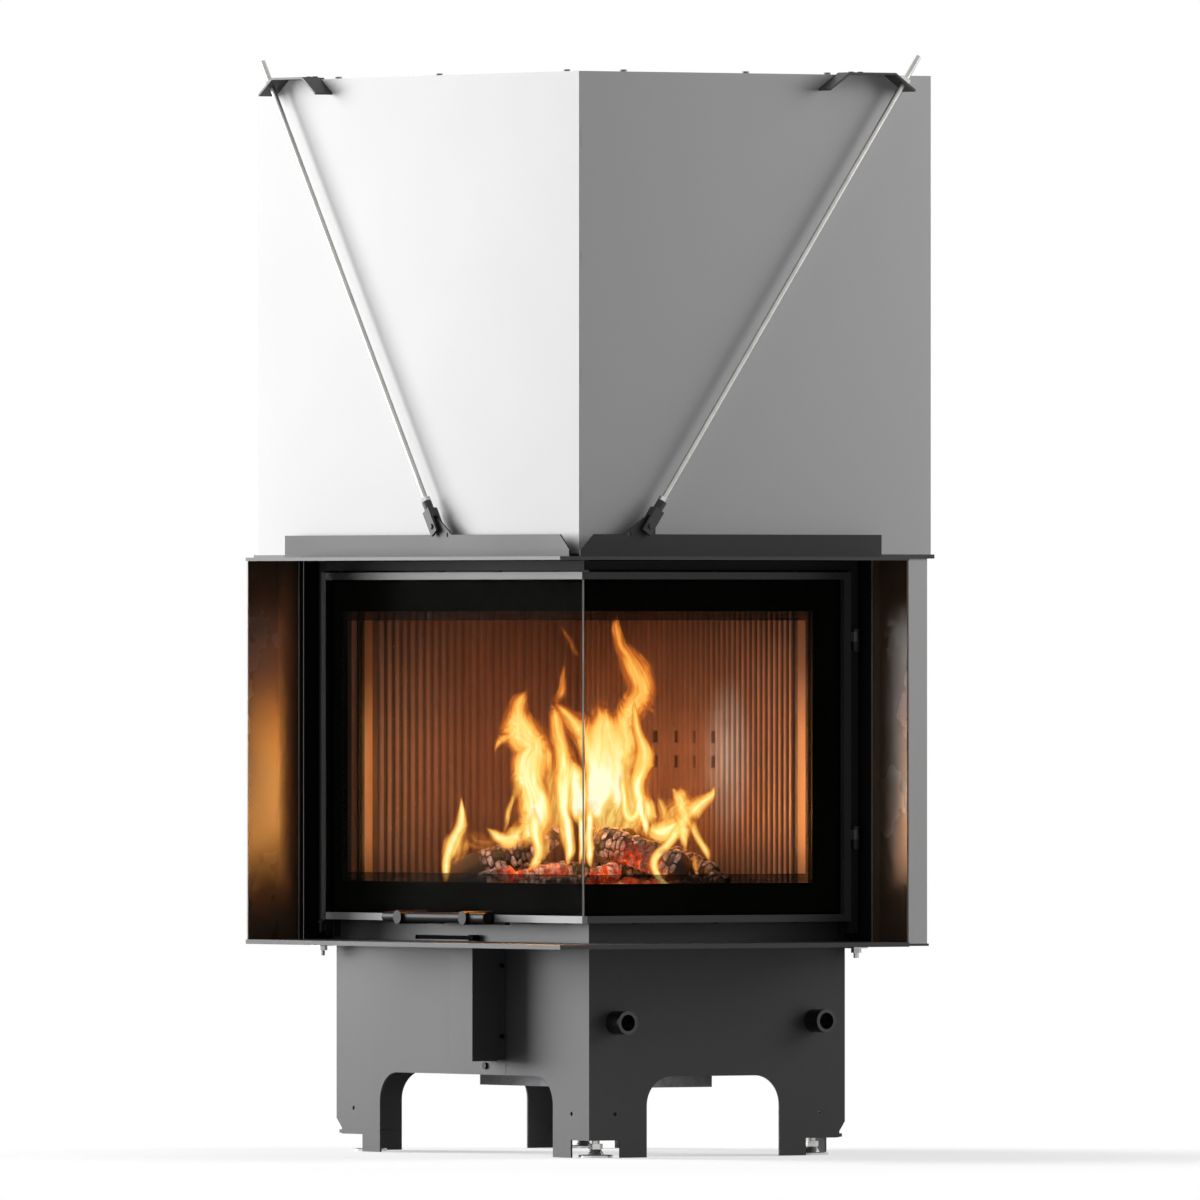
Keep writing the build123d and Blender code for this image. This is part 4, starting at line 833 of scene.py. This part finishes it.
def screw_tree(name):
    """Tree that sets a screw head with its washer on the middle of each face, turned to the face's normal."""
    tree = bpy.data.node_groups.new(name, "GeometryNodeTree")
    sockets = tree.interface
    sockets.new_socket("Seats", in_out="INPUT", socket_type="NodeSocketGeometry")
    inputs = [
        sockets.new_socket("Head radius", in_out="INPUT", socket_type="NodeSocketFloat"),
        sockets.new_socket("Head height", in_out="INPUT", socket_type="NodeSocketFloat"),
        sockets.new_socket("Finish", in_out="INPUT", socket_type="NodeSocketMaterial")]
    sockets.new_socket("Geometry", in_out="OUTPUT", socket_type="NodeSocketGeometry")
    given = tree.nodes.new("NodeGroupInput").outputs
    radius, height = given["Head radius"], given["Head height"]
    head = add(tree, "GeometryNodeMeshCylinder", {"Vertices": 20, "Radius": radius, "Depth": height})
    washer = add(tree, "GeometryNodeMeshCylinder", {
        "Vertices": 24, "Radius": times(tree, radius, 1.45), "Depth": times(tree, height, 0.3)})
    drop = add(tree, "ShaderNodeCombineXYZ", {"Z": times(tree, height, -0.35)}).outputs["Vector"]
    low = add(tree, "GeometryNodeTransform", {"Geometry": washer.outputs["Mesh"], "Translation": drop})
    both = add(tree, "GeometryNodeJoinGeometry")
    for part in (head.outputs["Mesh"], low.outputs["Geometry"]):
        feed(tree, both, {"Geometry": part})
    held = add(tree, "GeometryNodeCaptureAttribute")
    held.capture_items.new("VECTOR", "Facing")
    held.domain = "FACE"
    feed(tree, held, {0: given["Seats"], 1: add(tree, "GeometryNodeInputNormal").outputs["Normal"]})
    points = add(tree, "GeometryNodeMeshToPoints", {"Mesh": held.outputs[0]}, mode="FACES")
    turn = add(tree, "FunctionNodeAlignRotationToVector", {"Vector": held.outputs[1]}, axis="Z")
    spots = add(tree, "GeometryNodeInstanceOnPoints", {
        "Points": points.outputs["Points"], "Instance": both.outputs["Geometry"],
        "Rotation": turn.outputs["Rotation"]})
    real = add(tree, "GeometryNodeRealizeInstances", {"Geometry": spots.outputs["Instances"]})
    finished = add(tree, "GeometryNodeSetMaterial", {
        "Geometry": real.outputs["Geometry"], "Material": given["Finish"]})
    result = tree.nodes.new("NodeGroupOutput")
    feed(tree, result, {"Geometry": finished.outputs["Geometry"]})
    return tree, [socket.identifier for socket in inputs]


def screws(name, spots, facing):
    """Screw heads of the door at several places, all facing one way, as one plain mesh."""
    tree, identifiers = screw_tree(name + "_tree")
    side = Vector(facing).orthogonal().normalized() * SEAT_SIZE
    other = Vector(facing).cross(side).normalized() * SEAT_SIZE
    corners = []
    for spot in spots:
        corners += [spot - side - other, spot + side - other, spot + other]
    faces = [(k, k + 1, k + 2) for k in range(0, len(corners), 3)]
    carrier = bpy.data.objects.new(name + "_points", mesh_from(name + "_points", corners, faces))
    bpy.context.scene.collection.objects.link(carrier)
    heads = carrier.modifiers.new("heads", "NODES")
    heads.node_group = tree
    for identifier, value in zip(identifiers, (SCREW_RADIUS * MM, SCREW_HEIGHT * MM, black_paint)):
        heads[identifier] = value
    bpy.context.view_layer.update()
    graph = bpy.context.evaluated_depsgraph_get()
    mesh = bpy.data.meshes.new_from_object(carrier.evaluated_get(graph), depsgraph=graph)
    mesh.name = name
    bpy.data.objects.remove(carrier)
    new_piece(name, mesh, black_paint, "door_leaf")


def rail_spots(front_u, z):
    """Places along a rail's front run and its side run."""
    return [at(u, SCREW_INSET, z) for u in front_u] + [at(SCREW_INSET, v, z) for v in SIDE_SCREWS_V]


screws("door_top_screws", rail_spots(TOP_SCREWS_U, DOOR_TOP + SCREW_PROUD), UP)
screws("door_bottom_screws", rail_spots(LOW_SCREWS_U, DOOR_LOW - SCREW_PROUD), DOWN)


# Logs and embers

fire_centre = at(FIRE_U, FIRE_V, HEARTH_Z)
rng = np.random.default_rng(7)

BLOCK_LENGTH = 0.0080
BLOCK_GIRTH = 0.0215
LOG_SQUASH = 0.9

# Offsets along the diagonal, towards the room and up for both ends, the radius, and the smooth share
LOGS = [
    ((-204, 0, 20), (-78, 6, 62), 23, 0.34),
    ((-160, 84, 15), (-112, 74, 26), 14, 0.0),
    ((-112, 66, 16), (-34, 58, 30), 15, 0.0),
    ((-104, 88, 10), (-8, 92, 17), 9, 0.0),
    ((4, 78, 18), (40, 70, 30), 16, 0.0),
    ((136, 74, 30), (14, 26, 74), 24, 0.0),
    ((178, 30, 22), (120, -20, 50), 19, 0.0),
    ((196, 60, 12), (172, 40, 26), 12, 0.0),
    ((-70, 10, 60), (-44, -6, 84), 15, 0.0),
    ((62, -20, 78), (-6, -34, 70), 21, 0.0),
    ((-90, -40, 20), (170, -60, 24), 22, 0.0),
]
LOG_SEED = 11
LUMPS = 230
BED_REACH = (190, 92)

# Offsets of each hot spot's middle, and its reach
HOT_SPOTS = [(-112, 70, 26, 26), (-56, 60, 34, 30), (22, 74, 24, 26), (62, 64, 18, 46)]


def fire_point(s, out, z):
    """Point from its offsets along the fire's diagonal and towards the room, and its height on the hearth."""
    return fire_centre + (FIRE_DIAGONAL * s + TOWARDS_ROOM * out + Vector((0, 0, z))) * MM


def heat_near(points):
    """Heat from 0 to 1 by the distance to the hot spots between the logs."""
    total = np.zeros(len(points))
    for s, out, z, reach in HOT_SPOTS:
        away = np.linalg.norm(points - np.array(fire_point(s, out, z)), axis=1) / (reach * MM)
        total = np.maximum(total, np.clip(1.35 - away, 0, 1))
    return total.astype(np.float32)


def block_pattern(x, y, length, girth, draw):
    """Height of the charred blocks on the unrolled bark: 0 in a crack, up to 1 on a block's top."""
    columns = max(4, round(length / BLOCK_LENGTH))
    rows = max(5, round(girth / BLOCK_GIRTH))
    first = np.full(x.shape, 1e9)
    second = np.full(x.shape, 1e9)
    lift = np.zeros(x.shape)
    for i in range(columns):
        for j in range(rows):
            sx = (i + 0.5 + draw.uniform(-0.22, 0.22)) * length / columns
            sy = (j + 0.5 * (i % 2) + 0.5 + draw.uniform(-0.35, 0.35)) * girth / rows
            rise = draw.uniform(0.30, 1.0)
            dy = np.abs(y + 0.25 * x - sy) % girth
            dy = np.minimum(dy, girth - dy)
            d = np.sqrt(((x - sx) / BLOCK_LENGTH) ** 2 + (dy / BLOCK_GIRTH) ** 2)
            closer = d < first
            second = np.where(closer, first, np.minimum(second, d))
            first = np.where(closer, d, first)
            lift = np.where(closer, rise, lift)
    edge = np.clip((second - first) / 0.34, 0, 1)
    return (1 - (1 - edge) ** 2.4) * lift


def log_mesh(start, end, radius, seed, smooth_to):
    """Charred log: blocks longer round the girth than along it, smooth up to a share of its length."""
    draw = np.random.default_rng(seed)
    axis = end - start
    length = axis.length
    axis.normalize()
    side = axis.orthogonal().normalized()
    other = axis.cross(side)
    rings, spokes = 110, 84
    t = np.linspace(0, 1, rings)
    a = np.linspace(0, 2 * math.pi, spokes, endpoint=False)
    tt, aa = np.meshgrid(t, a, indexing="ij")
    crown = block_pattern(tt * length, aa * radius, length, 2 * math.pi * radius, draw)
    rough = np.clip((tt - smooth_to) / 0.12, 0, 1) if smooth_to else np.ones(tt.shape)
    crown = crown * rough + (1 - rough) * 0.8
    sway = 0.08 * np.sin(aa * 2 + seed) + 0.05 * np.sin(aa * 3 + 2.0 * seed + tt * 5)
    taper = 1.0 - 0.20 * np.exp(-tt * 26) - 0.20 * np.exp(-(1 - tt) * 26)
    r = radius * (0.80 + sway + 0.20 * crown) * taper
    bend = 0.10 * radius * np.sin(tt * 3.0 + seed)
    verts = []
    for i in range(rings):
        centre = start + axis * (t[i] * length) + side * bend[i, 0]
        for j in range(spokes):
            point = centre + side * (math.cos(a[j]) * r[i, j])
            verts.append(point + other * (math.sin(a[j]) * r[i, j] * LOG_SQUASH))
    cracks = list(((1 - crown) * rough + 0.75 * (1 - rough)).ravel())
    faces = []
    for i in range(rings - 1):
        for j in range(spokes):
            k = (j + 1) % spokes
            faces.append((i * spokes + j, i * spokes + k, (i + 1) * spokes + k, (i + 1) * spokes + j))
    for ring, out in ((0, -1.0), (rings - 1, 1.0)):
        log_end(verts, faces, cracks, ring * spokes, spokes, np.array(axis) * (radius * out), out < 0, draw)
    return verts, faces, cracks


def log_end(verts, faces, cracks, start, spokes, outwards, flip, draw):
    """Domed end of a log over the ring of points that begins at start."""
    previous = [start + j for j in range(spokes)]
    middle = np.mean([verts[v] for v in previous], axis=0)
    for step, dome in ((0.86, 0.10), (0.66, 0.17), (0.40, 0.22), (0.16, 0.24)):
        current = []
        for j in range(spokes):
            outer = np.array(verts[start + j])
            current.append(len(verts))
            verts.append(middle + (outer - middle) * step + outwards * (dome + draw.uniform(-0.02, 0.02)))
            cracks.append(0.8)
        for j in range(spokes):
            k = (j + 1) % spokes
            quad = (previous[j], previous[k], current[k], current[j])
            faces.append(quad if flip else quad[::-1])
        previous = current
    tip = len(verts)
    verts.append(middle + outwards * 0.24)
    cracks.append(0.8)
    for j in range(spokes):
        tri = (previous[j], previous[(j + 1) % spokes], tip)
        faces.append(tri if flip else tri[::-1])


def logs():
    """All logs as one piece that carries how cracked and how hot each point is."""
    verts, faces, cracks = [], [], []
    for index, (low, high, radius, smooth_to) in enumerate(LOGS):
        v, f, c = log_mesh(fire_point(*low), fire_point(*high), radius * MM, LOG_SEED + index, smooth_to)
        base = len(verts)
        verts += [Vector(p) for p in v]
        faces += [tuple(base + i for i in face) for face in f]
        cracks += c
    mesh = mesh_from("fire_logs", verts, faces, smooth=True)
    build = bmesh.new()
    build.from_mesh(mesh)
    bmesh.ops.recalc_face_normals(build, faces=build.faces[:])
    build.to_mesh(mesh)
    build.free()
    carry(mesh, "char", cracks, heat_near(np.array([tuple(p) for p in verts])))
    mesh.shade_smooth()
    new_piece("fire_logs", mesh, char, "root")


def ember_bed():
    """Broken lumps heaped on the hearth round the logs, ash-grey on top and red in the hot spots."""
    build = bmesh.new()
    for _ in range(LUMPS):
        angle = rng.uniform(0, 2 * math.pi)
        reach = math.sqrt(rng.uniform(0, 1))
        s = math.cos(angle) * reach * BED_REACH[0]
        out = 12 + math.sin(angle) * reach * BED_REACH[1]
        size = rng.uniform(6, 13)
        centre = fire_point(s, out, size * 0.35 + (1 - reach) * 12)
        turn = Matrix.Rotation(rng.uniform(0, 6.28), 4, Vector(rng.normal(size=3)).normalized())
        stretch = Matrix.Diagonal(Vector((*rng.uniform(0.65, 1.25, 3), 1)))
        made = bmesh.ops.create_icosphere(build, subdivisions=2, radius=size * MM * 0.62,
                                          matrix=Matrix.Translation(centre) @ turn @ stretch)
        for vert in made["verts"]:
            vert.co += Vector(rng.normal(size=3)) * size * MM * 0.05
    for vert in build.verts:
        vert.co.z = max(vert.co.z, fire_centre.z)
    mesh = mesh_of("fire_embers", build)
    points = np.array([tuple(v.co) for v in mesh.vertices])
    carry(mesh, "char", np.zeros(len(points)), heat_near(points))
    new_piece("fire_embers", mesh, ember, "root")


logs()
ember_bed()


# Flames

# Layers by their offset towards the room. Each tongue is its heat and a run of points:
# offset along the diagonal, height on the hearth, half width.
BACK_FLAMES = [
    (1.00, [(8, 96, 6), (10, 118, 13), (14, 150, 21), (18, 180, 24), (20, 210, 24), (18, 235, 20),
            (15, 254, 10), (12, 263, 2)]),
    (0.98, [(40, 116, 6), (40, 140, 12), (42, 170, 15), (44, 200, 18), (46, 226, 19), (50, 246, 18),
            (62, 262, 17), (71, 278, 17), (73, 293, 17), (70, 308, 19), (61, 325, 19), (53, 340, 14),
            (45, 354, 7), (41, 374, 4.5), (39, 399, 0.5)]),
    (0.96, [(4, 112, 9), (6, 140, 15), (5, 168, 16), (1, 195, 15), (-7, 218, 15), (-17, 238, 14),
            (-30, 250, 11), (-42, 260, 6), (-50, 266, 1)]),
    (0.85, [(88, 206, 2), (87, 196, 4), (84, 182, 5), (85, 172, 2), (86, 165, 0.6)]),
    (0.80, [(82, 276, 5), (86, 268, 3), (92, 260, 2), (97, 256, 0.6)]),
    (0.42, [(-58, 112, 3), (-54, 130, 8), (-53, 155, 9), (-55, 178, 8), (-58, 198, 3)]),
    (0.34, [(30, 84, 8), (34, 104, 12), (36, 122, 12)]),
    (0.46, [(-76, 70, 12), (-70, 104, 30), (-58, 140, 36), (-52, 176, 34), (-56, 206, 24), (-66, 236, 12)]),
    (0.56, [(22, 70, 16), (34, 104, 38), (44, 146, 40), (40, 190, 38), (30, 226, 34), (28, 256, 20)]),
    (0.44, [(92, 74, 10), (116, 96, 22), (138, 116, 18), (156, 128, 8)]),
]
MIDDLE_FLAMES = [
    (0.95, [(-210, 12, 1.5), (-210, 30, 4), (-207, 46, 6), (-200, 60, 8), (-193, 74, 8), (-189, 88, 7),
            (-188, 102, 6), (-187, 114, 4.5), (-187, 124, 2.5), (-187, 134, 0.6)]),
    (0.45, [(-194, 40, 4), (-187, 58, 7), (-182, 76, 7), (-180, 88, 3)]),
    (1.00, [(-90, 66, 8), (-83, 84, 15), (-78, 104, 18), (-79, 124, 20), (-86, 150, 20), (-89, 172, 24),
            (-85, 192, 22), (-80, 208, 17), (-94, 222, 23), (-106, 242, 20), (-103, 262, 12), (-95, 280, 4.5),
            (-90, 292, 0.6)]),
    (0.80, [(-112, 234, 8), (-123, 222, 5), (-131, 211, 3), (-137, 198, 0.6)]),
    (0.75, [(-70, 214, 6), (-64, 202, 6), (-60, 186, 6), (-62, 172, 5)]),
    (0.50, [(-103, 162, 5), (-110, 141, 3.5), (-114, 121, 3.2), (-118, 103, 3), (-123, 88, 2)]),
    (0.92, [(-152, 89, 0.6), (-142, 84, 4), (-130, 77, 8), (-117, 75, 10), (-103, 80, 12), (-92, 90, 13)]),
    (0.30, [(-180, 86, 4), (-169, 75, 7), (-157, 69, 7), (-146, 65, 6), (-136, 68, 4)]),
    (0.95, [(-30, 34, 1), (-28, 52, 5), (-31, 72, 6.5), (-36, 96, 7), (-38, 116, 7), (-37, 136, 10),
            (-37, 160, 11), (-40, 190, 9), (-43, 215, 9), (-46, 240, 9), (-50, 258, 4), (-54, 268, 0.6)]),
    (1.00, [(-16, 100, 4), (-16, 122, 13), (-18, 146, 14), (-24, 168, 9), (-29, 186, 3)]),
    (0.72, [(-48, 268, 5), (-46, 276, 5), (-42, 290, 4.2), (-39, 307, 3), (-37, 320, 1.8), (-36, 331, 0.5)]),
    (0.34, [(-45, 384, 0.6), (-39, 373, 2), (-31, 360, 2.2), (-24, 348, 2), (-17, 337, 0.6)]),
    (1.00, [(84, 77, 0.8), (80, 89, 3), (76, 102, 4.5), (71, 120, 5.5), (69, 137, 7), (70, 152, 8),
            (73, 166, 9), (77, 181, 10), (78, 195, 10), (75, 208, 8), (71, 222, 6), (68, 240, 5),
            (67, 258, 3), (66, 274, 0.6)]),
    (0.85, [(50, 168, 4), (47, 145, 4), (48, 124, 4), (53, 108, 4), (60, 102, 4), (66, 110, 4),
            (68, 126, 4)]),
    (0.85, [(76, 98, 7), (82, 108, 9), (84, 119, 8), (82, 130, 6), (78, 142, 1)]),
    (0.95, [(80, 86, 6), (90, 88, 10), (102, 86, 13), (114, 87, 13), (126, 92, 10), (136, 100, 9)]),
    (0.60, [(98, 135, 0.6), (104, 125, 4), (108, 114, 5), (107, 104, 5), (103, 96, 4)]),
]
FRONT_FLAMES = [
    (0.98, [(-84, 118, 4), (-79, 98, 6), (-75, 78, 7), (-73, 62, 6.5), (-76, 48, 5), (-83, 36, 3.5),
            (-92, 26, 0.8)]),
    (0.50, [(-62, 92, 3), (-60, 74, 4), (-62, 58, 3), (-68, 46, 1)]),
    (0.95, [(-14, 116, 4), (-14, 92, 3.4), (-13, 66, 3.2), (-12, 40, 1.2)]),
    (0.95, [(4, 120, 6), (0, 100, 5), (-3, 80, 4.5), (-2, 60, 4.5), (1, 46, 3.2), (4, 37, 0.8)]),
    (0.40, [(14, 100, 4), (16, 84, 4), (12, 70, 3.5), (6, 66, 2)]),
    (0.85, [(118, 150, 0.6), (124, 142, 4), (131, 132, 7), (136, 120, 9), (138, 107, 10), (136, 92, 9),
            (134, 78, 6), (134, 66, 3), (136, 56, 0.8)]),
    (0.80, [(130, 153, 0.8), (132, 142, 5), (136, 130, 8)]),
    (0.92, [(140, 108, 9), (149, 117, 11), (159, 125, 9), (167, 131, 6.5), (174, 139, 3.5), (178, 149, 1.6),
            (181, 158, 0.5)]),
    (0.92, [(130, 94, 7), (123, 82, 6), (113, 71, 5), (103, 60, 4.8), (96, 46, 4.8), (94, 33, 4.8),
            (97, 21, 4.6), (104, 13, 4), (115, 9, 2.8), (126, 8, 0.8)]),
    (0.80, [(146, 106, 6), (152, 88, 5), (159, 73, 4.6), (166, 58, 4), (171, 46, 0.8)]),
    (0.50, [(146, 60, 1), (150, 45, 2.6), (153, 31, 2.6), (155, 20, 0.6)]),
]
FLAME_LAYERS = ((-22.0, BACK_FLAMES), (20.0, MIDDLE_FLAMES), (84.0, FRONT_FLAMES))
FLAME_STEP = 1.8
FLAME_RIM = 22.0
FLAME_HALO = 4.5
OUTSIDE = -40.0


def catmull(run, s):
    """Smooth value between the points of a run."""
    i = min(int(s), len(run) - 2)
    t = s - i
    p0, p1, p2, p3 = run[max(i - 1, 0)], run[i], run[i + 1], run[min(i + 2, len(run) - 1)]
    return 0.5 * (2 * p1 + (p2 - p0) * t + (2 * p0 - 5 * p1 + 4 * p2 - p3) * t * t
                  + (3 * p1 - p0 - 3 * p2 + p3) * t ** 3)


def tongue_field(grid_s, grid_z, tongue):
    """Depth inside a tongue on a grid in millimetres, its half width, its heat, and how the flow runs."""
    heat, run = tongue
    run = np.array(run, float)
    run[:, 2] += 0.16 * np.clip(run[:, 2] - 2.0, 0, None)
    path = np.array([catmull(run, k) for k in np.linspace(0, len(run) - 1, (len(run) - 1) * 8 + 1)])
    inside = np.full(grid_s.shape, OUTSIDE)
    width = np.full(grid_s.shape, 1.0)
    across = np.zeros(grid_s.shape)
    along = np.zeros(grid_s.shape)
    travelled = 0.0
    for (s0, z0, w0), (s1, z1, w1) in zip(path[:-1], path[1:]):
        ds, dz = s1 - s0, z1 - z0
        size = math.hypot(ds, dz) or 1e-6
        part = np.clip(((grid_s - s0) * ds + (grid_z - z0) * dz) / size ** 2, 0, 1)
        off_s = grid_s - s0 - part * ds
        off_z = grid_z - z0 - part * dz
        away = np.hypot(off_s, off_z)
        half = w0 + (w1 - w0) * part
        depth = np.maximum(half, 0.4) - away
        better = depth > inside
        inside = np.where(better, depth, inside)
        width = np.where(better, half, width)
        across = np.where(better, away * np.sign(off_s * dz - off_z * ds), across)
        along = np.where(better, travelled + part * size, along)
        travelled += size
    ends = np.clip((np.minimum(along, travelled - along) + 5.0) / 22.0, 0.3, 1)
    return inside, width, heat * ends ** 0.7, across, along + 37.0 * len(run)


def flame_layer(tongues):
    """Grid of a layer with the merged tongues' thickness and warmth, their flow and their depth."""
    points = [p for _, run in tongues for p in run]
    low_s = min(p[0] - p[2] for p in points) - 10
    high_s = max(p[0] + p[2] for p in points) + 10
    low_z = max(1.0, min(p[1] - p[2] for p in points) - 6)
    high_z = max(p[1] + p[2] for p in points) + 10
    s = np.arange(low_s, high_s, FLAME_STEP)
    z = np.arange(low_z, high_z, FLAME_STEP)
    grid_s, grid_z = np.meshgrid(s, z, indexing="ij")
    warp_s = grid_s + 2.2 * np.sin(grid_z / 15.0 + grid_s / 21.0) + 0.6 * np.sin(grid_z / 6.1 + 1.3)
    warp_z = grid_z + 2.4 * np.sin(grid_s / 9.0 + grid_z / 27.0)
    power = np.zeros(grid_s.shape)
    warmth = np.zeros(grid_s.shape)
    weights = np.full(grid_s.shape, 1e-6)
    flow = np.zeros((2, *grid_s.shape))
    depth = np.full(grid_s.shape, OUTSIDE)
    for tongue in tongues:
        inside, width, heat, across, along = tongue_field(warp_s, warp_z, tongue)
        halo = np.minimum(FLAME_HALO, 0.6 * width)
        inside = inside + halo
        rim = np.clip(inside / np.clip(width + halo, 2.0, FLAME_RIM), 0, 1)
        share = np.clip(inside + 8.0, 0, None) ** 2
        power += (heat * (1 - (1 - rim) ** 2.0)) ** 4
        warmth += (heat * (1 - (1 - rim) ** 1.3)) ** 4
        weights += share
        flow[0] += share * across
        flow[1] += share * along
        depth = np.maximum(depth, inside)
    cooler = np.clip((grid_z - 120.0) / 220.0, 0, 1)
    hottest = np.exp(-((grid_s - 4.0) / 62.0) ** 2 - ((grid_z - 118.0) / 62.0) ** 2)
    power = np.minimum(power ** 0.25, 1.0)
    warmth = np.minimum(warmth ** 0.25, 1.0) * (1.0 + 0.42 * hottest * power ** 3) - 0.58 * cooler
    return grid_s, grid_z, (power, np.clip(warmth, 0.02, 1.25), *(flow / weights)), depth


def flame_sheets(out, tongues):
    """Closed sheet of flame: two skins apart by the depth, joined along the edge."""
    grid_s, grid_z, carried, depth = flame_layer(tongues)
    inside = depth > 0.0
    cells = inside[:-1, :-1] | inside[1:, :-1] | inside[:-1, 1:] | inside[1:, 1:]
    bow = 9.0 * np.sin(grid_z / 52.0 + out) + 5.0 * np.sin(grid_s / 31.0)
    half = np.sqrt(np.clip(depth, 0, None)) * 2.4
    verts, values = [], []
    index = {}

    def vertex(i, j, side):
        key = (i, j, side if inside[i, j] else 0)
        if key not in index:
            index[key] = len(verts)
            verts.append(fire_point(grid_s[i, j], out + bow[i, j] + key[2] * half[i, j], grid_z[i, j]))
            values.append([value[i, j] for value in carried])
        return index[key]

    faces = []
    for i, j in np.argwhere(cells):
        ring = ((i, j), (i + 1, j), (i + 1, j + 1), (i, j + 1))
        faces.append([vertex(a, b, 1) for a, b in ring])
        faces.append([vertex(a, b, -1) for a, b in ring[::-1]])
    return verts, faces, values


def flames():
    """All layers of flame as one piece that throws no shadow."""
    verts, faces, values = [], [], []
    for out, tongues in FLAME_LAYERS:
        v, f, c = flame_sheets(out, tongues)
        base = len(verts)
        verts += v
        faces += [[base + k for k in face] for face in f]
        values += c
    mesh = mesh_from("fire_flames", verts, faces, smooth=True)
    thickness, warmth, across, along = np.array(values).T
    carry(mesh, "heat", thickness, warmth)
    carry(mesh, "flow", across, along)
    new_piece("fire_flames", mesh, flame, "root").visible_shadow = False


flames()


# Floor, lamps, world, camera

WHITE = (1, 1, 1, 1)
FLOOR_LIFT = 0.51
AMBIENT = 0.055
OBJECT_MIDDLE = Vector((0.0, 0.0, 0.85))
CAMERA_Z = 754.0
CAMERA_DISTANCE = 36.465
CAMERA_ASIDE = 0.03003


def directly_seen(tree):
    """1 for rays from the camera, from mirrors and through glass, which show the backdrop as it is."""
    path = add(tree, "ShaderNodeLightPath").outputs
    seen = larger(tree, path["Is Camera Ray"], path["Is Glossy Ray"])
    return larger(tree, seen, path["Is Transmission Ray"])


def floor():
    """Pale floor with the object's shadow, plain white far out."""
    build = bmesh.new()
    bmesh.ops.create_circle(build, cap_ends=True, segments=96, radius=14.0)
    mesh = mesh_of("studio_floor", build)
    disc = bpy.data.objects.new("studio_floor", mesh)
    disc.location = (0, 0, -0.0005)
    bpy.context.scene.collection.objects.link(disc)
    material, tree, output = bare_material("pale_floor")
    seen = directly_seen(tree)
    coordinates = add(tree, "ShaderNodeTexCoord")
    away = add(tree, "ShaderNodeVectorMath", {0: coordinates.outputs["Object"]}, operation="LENGTH")
    far = ramp(tree, times(tree, away.outputs["Value"], 0.25), [(0.18, 0.0), (0.42, 1.0)], "EASE")
    diffuse = add(tree, "ShaderNodeBsdfDiffuse", {"Color": mix(tree, seen, grey(0.26), grey(0.80))})
    lift = add(tree, "ShaderNodeEmission", {"Color": WHITE, "Strength": times(tree, seen, FLOOR_LIFT)})
    lit = add(tree, "ShaderNodeAddShader", {0: diffuse.outputs[0], 1: lift.outputs[0]})
    white = add(tree, "ShaderNodeEmission", {"Color": WHITE, "Strength": 1.0})
    both = add(tree, "ShaderNodeMixShader", {
        0: times(tree, far, seen), 1: lit.outputs[0], 2: white.outputs[0]})
    feed(tree, output, {"Surface": both.outputs[0]})
    mesh.materials.append(material)


def lamp(name, kind, power, spot, colour=(1, 1, 1)):
    """Lamp that the camera doesn't see itself."""
    data = bpy.data.lights.new(name, kind)
    data.energy = power
    data.color = colour
    made = bpy.data.objects.new(name, data)
    made.location = spot
    made.visible_camera = False
    bpy.context.scene.collection.objects.link(made)
    return made


def softbox(name, direction, distance, size, power):
    """Wide lamp some metres away, turned to the middle of the object."""
    spot = OBJECT_MIDDLE + Vector(direction).normalized() * distance
    made = lamp(name, "AREA", power, spot)
    made.data.shape = "RECTANGLE"
    made.data.size, made.data.size_y = size
    made.rotation_mode = "QUATERNION"
    made.rotation_quaternion = (OBJECT_MIDDLE - spot).to_track_quat("-Z", "Y")


def glow_lamp(name, spot, radius, power, colour):
    """Light of the fire, seen neither itself nor in the glass and the satin sheet."""
    made = lamp(name, "POINT", power, spot, colour)
    made.data.shadow_soft_size = radius
    made.visible_transmission = False
    made.visible_glossy = False


def backdrop():
    """White world where it is seen, and a faint light on the object."""
    world = bpy.data.worlds.new("studio")
    bpy.context.scene.world = world
    world.use_nodes = True
    tree = world.node_tree
    tree.nodes.clear()
    output = add(tree, "ShaderNodeOutputWorld")
    strength = plus(tree, times(tree, directly_seen(tree), 1.0 - AMBIENT), AMBIENT)
    sky = add(tree, "ShaderNodeBackground", {"Color": WHITE, "Strength": strength})
    feed(tree, output, {"Surface": sky.outputs[0]})


def view():
    """Long lens level with the middle of the object, facing its near corner as in the photograph."""
    data = bpy.data.cameras.new("camera")
    data.lens = 765.0
    data.sensor_width = 36.0
    data.shift_y = 0.0267
    data.clip_start = 1.0
    data.clip_end = 200.0
    camera = bpy.data.objects.new("camera", data)
    bpy.context.scene.collection.objects.link(camera)
    camera.location = at(0, 0, CAMERA_Z) + TOWARDS_ROOM * CAMERA_DISTANCE + FIRE_DIAGONAL * CAMERA_ASIDE
    camera.rotation_mode = "QUATERNION"
    camera.rotation_quaternion = (-TOWARDS_ROOM).to_track_quat("-Z", "Y")
    bpy.context.scene.camera = camera


floor()
softbox("left_softbox", (-0.81, -0.57, 0.22), 7.0, (4.2, 4.6), 665.0)
softbox("front_softbox", (0.15, -1.0, 0.10), 3.6, (2.2, 2.4), 15.0)
softbox("right_softbox", (0.50, 0.86, 0.36), 3.8, (2.4, 2.4), 74.0)
glow_lamp("fire_glow", at(FIRE_U, FIRE_V, 490.0), 0.06, 0.31, (1.0, 0.76, 0.50))
glow_lamp("fire_side", at(262.0, 376.0, 595.0), 0.025, 0.078, (1.0, 0.88, 0.76))
glow_lamp("fire_low", fire_point(6.0, 134.0, 84.0), 0.015, 0.22, (1.0, 0.66, 0.44))
backdrop()
view()
bpy.context.scene.view_settings.view_transform = "Standard"
bpy.context.scene.cycles.transparent_max_bounces = 48
